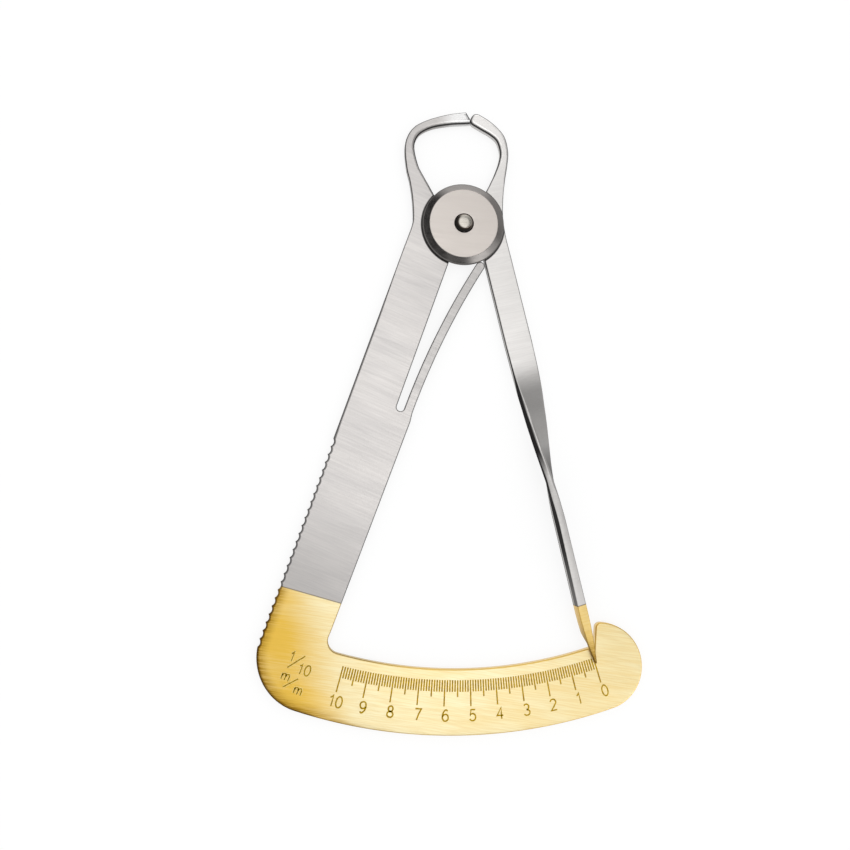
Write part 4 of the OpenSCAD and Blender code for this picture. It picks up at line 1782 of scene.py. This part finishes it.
@dataclass
class ScaleMarks:
    """Engraved ticks, numbers and unit sign of the arc scale.

    Attributes:
        zero_lean: Lean of the zero mark to the right of straight down, in degrees.
        unit_lean: Angle between two units, in degrees.
        units: Number of units.
        parts: Parts of a unit.
        tick_from: Radius at which the ticks start.
        tenth_to: Radius at which the tenths end.
        half_to: Radius at which the halves end.
        unit_to: Radius at which the units end.
        tick_w: Width of a tick.
        number_r: Radius of the numbers' base line.
        number_h: Height of a number.
        number_shift: How far the numbers stand to the right of their ticks.
        digit_w: Width of a digit as a share of its height.
        digit_pitch: Distance between two digits.
        stroke_w: Width of a stroke at its foot.
        stroke_top: Width of a stroke's face as a share of its foot.
        mitre: Largest stretch of a stroke's corner.
        sunk: How deep the marks go into the plate.
        proud: How far they stand out of it.
    """

    zero_lean: float = 20.77
    unit_lean: float = 3.169
    units: int = 10
    parts: int = 10
    tick_from: float = 73.0
    tenth_to: float = 74.8
    half_to: float = 75.6
    unit_to: float = 77.05
    tick_w: float = 0.225
    number_r: float = 79.3
    number_h: float = 1.72
    number_shift: float = 0.27
    digit_w: float = 0.6
    digit_pitch: float = 1.12
    stroke_w: float = 0.26
    stroke_top: float = 0.85
    mitre: float = 1.8
    sunk: float = 0.03
    proud: float = 0.008

    @staticmethod
    def tick_tree() -> Tree:
        """Makes the Geometry Nodes tree of one row of ticks along an arc about the pivot.

        Returns:
            The tree.
        """
        tree = bpy.data.node_groups.new("tick_row", "GeometryNodeTree")
        tree.interface.new_socket("Count", in_out="INPUT", socket_type="NodeSocketInt")
        for name in ("First Lean", "Lean Step", "Inner Radius", "Outer Radius", "Width", "Bottom", "Top"):
            tree.interface.new_socket(name, in_out="INPUT", socket_type="NodeSocketFloat")
        tree.interface.new_socket("Material", in_out="INPUT", socket_type="NodeSocketMaterial")
        tree.interface.new_socket("Geometry", in_out="OUTPUT", socket_type="NodeSocketGeometry")
        graph = Graph(tree)
        given = graph.add("NodeGroupInput").outputs
        index = graph.add("GeometryNodeInputIndex").outputs[0]
        lean = graph.sum(index, given["Lean Step"], given["First Lean"])
        middle = graph.mix(0.5, given["Inner Radius"], given["Outer Radius"])
        length = graph.math("SUBTRACT", given["Outer Radius"], given["Inner Radius"])
        height = graph.mix(0.5, given["Bottom"], given["Top"])
        thick = graph.math("SUBTRACT", given["Top"], given["Bottom"])
        right = graph.math("MULTIPLY", graph.math("SINE", lean), middle)
        down = graph.math("MULTIPLY", graph.math("COSINE", lean), middle)
        spot = graph.vector(right, graph.math("MULTIPLY", down, -1.0), height)
        line = graph.add("GeometryNodeMeshLine", {"Count": given["Count"]})
        put = graph.add("GeometryNodeSetPosition", {"Geometry": line.outputs["Mesh"], "Position": spot})
        bar = graph.add("GeometryNodeMeshCube", {"Size": graph.vector(given["Width"], length, thick)})
        place = graph.add("GeometryNodeInstanceOnPoints", {
            "Points": put.outputs["Geometry"], "Instance": bar.outputs["Mesh"],
            "Rotation": graph.vector(0.0, 0.0, lean)})
        real = graph.add("GeometryNodeRealizeInstances", {"Geometry": place.outputs["Instances"]})
        dress = graph.add("GeometryNodeSetMaterial", {
            "Geometry": real.outputs["Geometry"], "Material": given["Material"]})
        graph.add("NodeGroupOutput", {"Geometry": dress.outputs["Geometry"]})
        return tree

    def tick_row(self, name: str, tree: Tree, values: dict[str, Any]) -> Piece:
        """Makes one row of ticks.

        Args:
            name: Name of the piece.
            tree: The tick tree.
            values: Values for the tree's inputs, by name.

        Returns:
            An object with a plain mesh.
        """
        made = bpy.data.objects.new(name, bpy.data.meshes.new(name))
        bpy.context.scene.collection.objects.link(made)
        change = made.modifiers.new("ticks", "NODES")
        change.node_group = tree
        for item in tree.interface.items_tree:
            if item.in_out == "INPUT":
                change[item.identifier] = values[item.name]
        graph = bpy.context.evaluated_depsgraph_get()
        mesh = bpy.data.meshes.new_from_object(made.evaluated_get(graph))
        made.modifiers.clear()
        mesh.name = name
        made.data = mesh
        return made

    def build_ticks(self, material: Material) -> list[Piece]:
        """Makes the rows of tenths, halves and units.

        Args:
            material: Their material.

        Returns:
            One object for each row.
        """
        tree = self.tick_tree()
        step = math.radians(-self.unit_lean)
        zero = math.radians(self.zero_lean)
        shared = {"Width": self.tick_w * MM, "Bottom": (PLATE_T - self.sunk) * MM,
                  "Top": (PLATE_T + self.proud) * MM, "Material": material}
        tenths = self.parts * self.units + 1
        rows = (("scale_ticks_tenths", tenths, zero, step / self.parts, self.tick_from, self.tenth_to),
                ("scale_ticks_halves", self.units, zero + step / 2, step, self.tenth_to, self.half_to),
                ("scale_ticks_units", self.units + 1, zero, step, self.tenth_to, self.unit_to))
        made = []
        for name, count, lean, pitch, start, end in rows:
            made.append(self.tick_row(name, tree, shared | {
                "Count": count, "First Lean": lean, "Lean Step": pitch,
                "Inner Radius": start * MM, "Outer Radius": end * MM}))
        return made

    def add_stroke(self, shell: Shell, points: Sequence[Point]) -> None:
        """Adds one engraved stroke.

        Args:
            shell: Mesh that gets the stroke.
            points: Middle line of the stroke. A loop ends where it starts.
        """
        spots = [Vector(p) for p in points]
        closed = (spots[0] - spots[-1]).length < SAME_SPOT
        if closed:
            spots.pop()
        count = len(spots)
        rings = []
        for i, spot in enumerate(spots):
            before = spots[i - 1] if closed or i else spot
            after = spots[(i + 1) % count] if closed or i + 1 < count else spot
            ways = [w.normalized() for w in (spot - before, after - spot) if w.length > 0]
            total = sum(ways, Vector((0, 0))).normalized()
            reach = 1 / max(total.dot(ways[0]), 1 / self.mitre)
            side = Vector((-total.y, total.x)) * self.stroke_w / 2 * reach
            low, high = PLATE_T - self.sunk, PLATE_T + self.proud
            ring = []
            for k, z in ((1, low), (self.stroke_top, high), (-self.stroke_top, high), (-1, low)):
                ring.append(shell.add((spot.x + side.x * k, spot.y + side.y * k, z)))
            rings.append(ring)
        for first, second in zip(rings, rings[1:] + (rings[:1] if closed else [])):
            shell.add_strip(first, second, True)
        if not closed:
            shell.faces.append(tuple(rings[0]))
            shell.faces.append(tuple(reversed(rings[-1])))

    def add_sign(self, shell: Shell, sign: str, base: Point, lean: float, height: float) -> None:
        """Adds one sign.

        Args:
            shell: Mesh that gets it.
            sign: Which sign.
            base: Left end of its base line.
            lean: Turn of the base line, in degrees.
            height: Height of a number.
        """
        for stroke in SIGNS[sign]:
            spots = [turned((x * height, y * height), lean) for x, y in stroke]
            self.add_stroke(shell, [(base[0] + x, base[1] + y) for x, y in spots])

    def build_numbers(self, name: str) -> Piece:
        """Makes the numbers from zero to ten.

        Args:
            name: Name of the piece.

        Returns:
            The object.
        """
        shell = Shell()
        for value in range(self.units + 1):
            digits = str(value)
            lean = self.zero_lean - value * self.unit_lean
            middle = Vector(polar(self.number_r, lean))
            right = Vector(turned((1, 0), lean))
            half = (self.digit_pitch * (len(digits) - 1) + self.digit_w * self.number_h) / 2
            left = middle + right * (self.number_shift - half)
            for k, sign in enumerate(digits):
                self.add_sign(shell, sign, tuple(left + right * self.digit_pitch * k), lean, self.number_h)
        return shell.build(name)

    def build_unit(self, name: str) -> Piece:
        """Makes the unit sign: tenths of a millimetre.

        Args:
            name: Name of the piece.

        Returns:
            The object.
        """
        shell = Shell()
        for sign, base, height in UNIT_SIGNS:
            self.add_sign(shell, sign, base, UNIT_LEAN, height)
        for bar in UNIT_BARS:
            self.add_stroke(shell, bar)
        return shell.build(name)

    @staticmethod
    def dress(piece: Piece, material: Material) -> None:
        """Gives engraved marks their material and their body.

        Args:
            piece: The marks.
            material: Their material.
        """
        piece.data.materials.clear()
        piece.data.materials.append(material)
        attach(piece, Body.SCALE.value)


@dataclass(frozen=True)
class EngravedFinish:
    """The matt gold of the engraved marks, and the bright gold of the painted highlight rims round some of
    them.

    Attributes:
        name: Name of the material.
        tone: Its colours.
        grain: Grains to a metre.
        dull: Step of its grain to the dull colour.
        matt: Its roughness by its grain.
    """

    name: str = "engraved_gold"
    tone: Tone = ENGRAVED
    grain: float = 2500
    dull: Ramp = Ramp(0.35, 0.65)
    matt: Ramp = Ramp(0.3, 0.7, 0.45, 0.65)

    def material(self) -> Material:
        """Makes the material.

        Returns:
            The material.
        """
        made, graph, shader = new_material(self.name)
        noise = graph.add("ShaderNodeTexNoise", {"Scale": self.grain, "Vector": graph.spot()})
        grain = noise.outputs["Fac"]
        color = graph.blend(graph.step(grain, self.dull), self.tone.bright, self.tone.dull)
        rough = graph.step(grain, self.matt)
        graph.fill(shader, {"Base Color": color, "Roughness": rough, "Metallic": 1.0})
        return made


@dataclass(frozen=True)
class Patch:
    """A darker or lighter patch of the reflector ring.

    Attributes:
        azimuth: Its direction from +X, in degrees.
        elevation: Its height above the floor, in degrees.
        near: Angle from its middle up to which it is full.
        far: Angle from its middle at which it ends.
        level: Its brightness.
    """

    azimuth: float
    elevation: float
    near: float
    far: float
    level: float

    def way(self) -> Place:
        """Direction of the patch from the ring's middle."""
        flat, z = turned((1, 0), self.elevation)
        return (*turned((flat, 0), self.azimuth), z)

    def ramp(self) -> Ramp:
        """Step of the patch by the cosine of the angle from its middle."""
        return Ramp(math.cos(math.radians(self.far)), math.cos(math.radians(self.near)))


@dataclass
class Studio:
    """Camera, floor, soft light, and the grey ring and card that the metal shows.

    Attributes:
        camera_at: Place of the camera.
        camera_right: Direction of the picture's right side.
        camera_up: Direction of the picture's upper side.
        lens: Focal length.
        sensor: Width of the sensor.
        clip_start: Nearest distance that the camera shows, in metres.
        middle_y: Where along Y the lamp aims and the ring has its middle.
        floor_z: Height of the floor.
        floor_half: Half its width.
        floor_tone: Its brightness in the light.
        floor_matt: Its roughness.
        floor_shadow: Share of its look that takes shadows.
        world_level: Brightness of the room.
        lamp_at: Place of the lamp.
        lamp_size: Its width in metres.
        lamp_level: Its power for an area, before the factor pi.
        ring_r: Radius of the ring.
        ring_rows: Heights of its rows, as shares of its upper edge.
        ring_segments: Steps round the ring.
        ring_top: Elevation of its upper edge, in degrees.
        ring_right: How much higher its upper edge is on the right.
        ring_level: Its brightness outside the patches.
        patches: Its patches.
        card_at: Place of the card.
        card_r: Its radius.
        card_level: Its brightness.
    """

    camera_at: Place = (-17.79982, -44.91683, 141.96376)
    camera_right: Place = (0.99185731, 0.07262095, 0.10461962)
    camera_up: Place = (-0.08068367, 0.99391311, 0.07501246)
    lens: float = 37.5
    sensor: float = 36
    clip_start: float = 0.001
    middle_y: float = -30
    floor_z: float = -0.02
    floor_half: float = 1500.0
    floor_tone: float = 0.95
    floor_matt: float = 0.9
    floor_shadow: float = 0.16
    world_level: float = 1.0
    lamp_at: Place = (225.0, 20.0, 520.0)
    lamp_size: float = 0.62
    lamp_level: float = 0.46
    ring_r: float = 450.0
    ring_rows: tuple[float, ...] = (0.03, 0.25, 0.5, 0.75, 1.0)
    ring_segments: int = 48
    ring_top: float = 58
    ring_right: float = 13
    ring_level: float = 0.72
    patches: tuple[Patch, ...] = (
        Patch(20, 52, 22, 40, 0.32), Patch(86, 10, 14, 31, 1.6), Patch(128, 24, 9, 18, 0.04),
        Patch(152, 32, 7, 16, 0.06), Patch(175, 39, 7, 16, 0.06), Patch(202, 44, 7, 16, 0.06),
        Patch(232, 48, 7, 16, 0.06), Patch(274, 47, 9, 20, 0.25), Patch(350, 31, 7, 17, 1.3),
        Patch(323, 38, 8, 21, 2.5))
    card_at: Place = (-34.0, -84.0, 142.0)
    card_r: float = 30.0
    card_level: float = 0.85

    def build_camera(self) -> None:
        """Puts the camera where the photograph was taken from."""
        data = bpy.data.cameras.new("camera")
        data.lens = self.lens
        data.sensor_width = self.sensor
        data.clip_start = self.clip_start
        camera = bpy.data.objects.new("camera", data)
        right = Vector(self.camera_right)
        up = Vector(self.camera_up)
        turn = Matrix((right, up, right.cross(up))).transposed().to_4x4()
        camera.matrix_world = Matrix.Translation(Vector(self.camera_at) * MM) @ turn
        bpy.context.scene.collection.objects.link(camera)
        bpy.context.scene.camera = camera

    def build_floor(self) -> None:
        """Makes the white floor, which keeps a faint shadow."""
        half = self.floor_half * MM
        mesh = bpy.data.meshes.new("floor")
        corners = [(x * half, y * half, self.floor_z * MM) for x, y in ((-1, -1), (1, -1), (1, 1), (-1, 1))]
        mesh.from_pydata(corners, [], [(0, 1, 2, 3)])
        floor = bpy.data.objects.new("floor", mesh)
        bpy.context.scene.collection.objects.link(floor)
        made, graph, shader = new_material("floor_white")
        tone = (self.floor_tone, self.floor_tone, self.floor_tone, 1)
        graph.fill(shader, {"Base Color": tone, "Roughness": self.floor_matt, "Specular IOR Level": 0.0})
        glow = graph.add("ShaderNodeEmission")
        rays = graph.add("ShaderNodeLightPath").outputs
        seen = graph.math("MAXIMUM", rays["Is Glossy Ray"], rays["Is Transmission Ray"])
        seen = graph.math("MAXIMUM", rays["Is Camera Ray"], seen)
        share = graph.math("MULTIPLY", seen, 1 - self.floor_shadow)
        both = graph.add("ShaderNodeMixShader", {0: share, 1: shader.outputs[0], 2: glow.outputs[0]})
        graph.fill(made.node_tree.nodes["Material Output"], {"Surface": both.outputs[0]})
        mesh.materials.append(made)

    def build_light(self) -> None:
        """Sets the soft light: an even white room and one large lamp overhead."""
        world = bpy.data.worlds.new("room")
        world.use_nodes = True
        back = world.node_tree.nodes["Background"]
        back.inputs["Color"].default_value = (1, 1, 1, 1)
        back.inputs["Strength"].default_value = self.world_level
        bpy.context.scene.world = world
        data = bpy.data.lights.new("lamp", "AREA")
        data.size = self.lamp_size
        data.energy = self.lamp_level * math.pi * self.lamp_size ** 2
        lamp = bpy.data.objects.new("lamp", data)
        place = Vector(self.lamp_at) * MM
        aim = Vector((0, self.middle_y, 0)) * MM - place
        lamp.matrix_world = Matrix.Translation(place) @ aim.to_track_quat("-Z", "Y").to_matrix().to_4x4()
        bpy.context.scene.collection.objects.link(lamp)

    def build_reflector(self) -> None:
        """Makes the grey ring round the object, with its darker and lighter patches."""
        shell = Shell()
        rows = []
        for share in self.ring_rows:
            row = []
            for k in range(self.ring_segments):
                x, y = turned((1, 0), 360 * k / self.ring_segments)
                elevation = math.radians(share * (self.ring_top + self.ring_right * max(x, 0)))
                flat = self.ring_r * math.cos(elevation)
                z = self.ring_r * math.sin(elevation)
                row.append(shell.add((x * flat, y * flat + self.middle_y, z)))
            rows.append(row)
        for lower, upper in zip(rows, rows[1:]):
            shell.add_strip(lower, upper, True)
        made, graph, _ = new_material("reflector_grey")
        from_middle = graph.vector_math("ADD", graph.spot(), (0.0, -self.middle_y * MM, 0.0))[0]
        way = graph.vector_math("NORMALIZE", from_middle)[0]
        color: Any = (self.ring_level, self.ring_level, self.ring_level)
        for patch in self.patches:
            towards = graph.vector_math("DOT_PRODUCT", way, patch.way())["Value"]
            color = graph.blend(graph.step(towards, patch.ramp()), color, (patch.level,) * 3)
        self.reflect_only(shell.build("reflector"), made, graph, color)

    def build_card(self) -> None:
        """Makes the small grey card beside the camera that the lower handle shows."""
        shell = Shell()
        x, y, z = self.card_at
        steps = 36
        rim = arc((x, y), self.card_r, 0, 360, steps)[:steps]
        shell.faces.append(tuple(shell.add((*point, z)) for point in rim))
        made, graph, _ = new_material("card_grey")
        color = (self.card_level, self.card_level, self.card_level, 1)
        self.reflect_only(shell.build("camera_card"), made, graph, color)

    @staticmethod
    def reflect_only(piece: Piece, material: Material, graph: Graph, color: Any) -> None:
        """Makes a studio piece glow in reflections, out of sight and out of the light elsewhere.

        Args:
            piece: The studio piece.
            material: Its material.
            graph: The material's graph.
            color: Its glow with an alpha value, or the socket of its glow.
        """
        glow = graph.add("ShaderNodeEmission", {"Color": color})
        graph.fill(graph.tree.nodes["Material Output"], {"Surface": glow.outputs[0]})
        piece.data.materials.append(material)
        piece.visible_camera = False
        piece.visible_diffuse = False
        piece.visible_shadow = False
        piece.visible_transmission = False

    def build(self) -> None:
        """Sets up the whole studio."""
        self.build_camera()
        self.build_floor()
        self.build_light()
        self.build_reflector()
        self.build_card()
        bpy.context.scene.view_settings.view_transform = "Standard"


def report(piece: Piece) -> None:
    """Logs a finished piece."""
    LOG.info("%s: %d faces", piece.name, len(piece.data.polygons))


def main() -> None:
    """Builds the caliper, dresses it and sets up the studio."""
    logging.basicConfig(level=logging.INFO, format="%(name)s: %(message)s")
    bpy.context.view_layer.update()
    groups = {"brushed": brushed_group(), "painted_wall_shade": wall_group()}
    Studio().build()

    leaf = LeafSpring()
    arm = ScaleArm()
    pointer = PointerArm()
    pivot = Pivot()
    marks = ScaleMarks()

    steel = MetalFinish("brushed_steel", LEAF_STEEL, brush_angle=-19.0, root_tone=STEEL)
    arm_steel = MetalFinish("brushed_steel_gold_scale", STEEL, Plating.SCALE, brush_angle=-19.0,
                            plate_angle=-5.0, is_arm=True, polish_reach=6.0, low_shade=0.17)
    pointer_steel = MetalFinish("brushed_steel_gold_nib", BAR_STEEL, Plating.NIB, brush_angle=BAR_LEAN,
                                plate_angle=BAR_LEAN, is_arm=True, polish_reach=16.0)
    satin = MetalFinish("satin_steel", SATIN, roughness=(0.34, 0.06), wall_matt=0.0, wall_gloss=0.14)
    polished = MetalFinish("polished_steel", POLISHED, roughness=(0.2, 0.06), wall_matt=0.0)

    arm_piece = arm.build(leaf)
    arm.dress(arm_piece, arm_steel.material(groups))
    leaf_piece = leaf.build()
    leaf.dress(leaf_piece, steel.material(groups))
    pointer_piece = pointer.build()
    pointer.dress(pointer_piece, pointer_steel.material(groups))
    disc = pivot.build_disc()
    pivot.dress(disc, satin.material(groups), "pivot_disc")
    rivet = pivot.build_rivet()
    pivot.dress(rivet, polished.material(groups), "pivot_rivet")
    for piece in (arm_piece, leaf_piece, pointer_piece, disc, rivet):
        report(piece)
    engraved = EngravedFinish().material()
    # Bright rims round the numbers and unit sign are painted highlights.
    highlight_finish = EngravedFinish("painted_highlight_gold", HIGHLIGHT_GOLD).material()
    highlight_rims = replace(marks, stroke_w=0.38, proud=0.004)
    marked = [(piece, engraved) for piece in marks.build_ticks(engraved)]
    for owner, material, numbers, unit in ((marks, engraved, "scale_numbers", "scale_unit"),
                                           (highlight_rims, highlight_finish, "scale_number_highlights", "scale_unit_highlights")):
        marked += [(owner.build_numbers(numbers), material), (owner.build_unit(unit), material)]
    for piece, material in marked:
        marks.dress(piece, material)
        report(piece)

    bpy.context.view_layer.update()


if __name__ == "__main__":
    main()
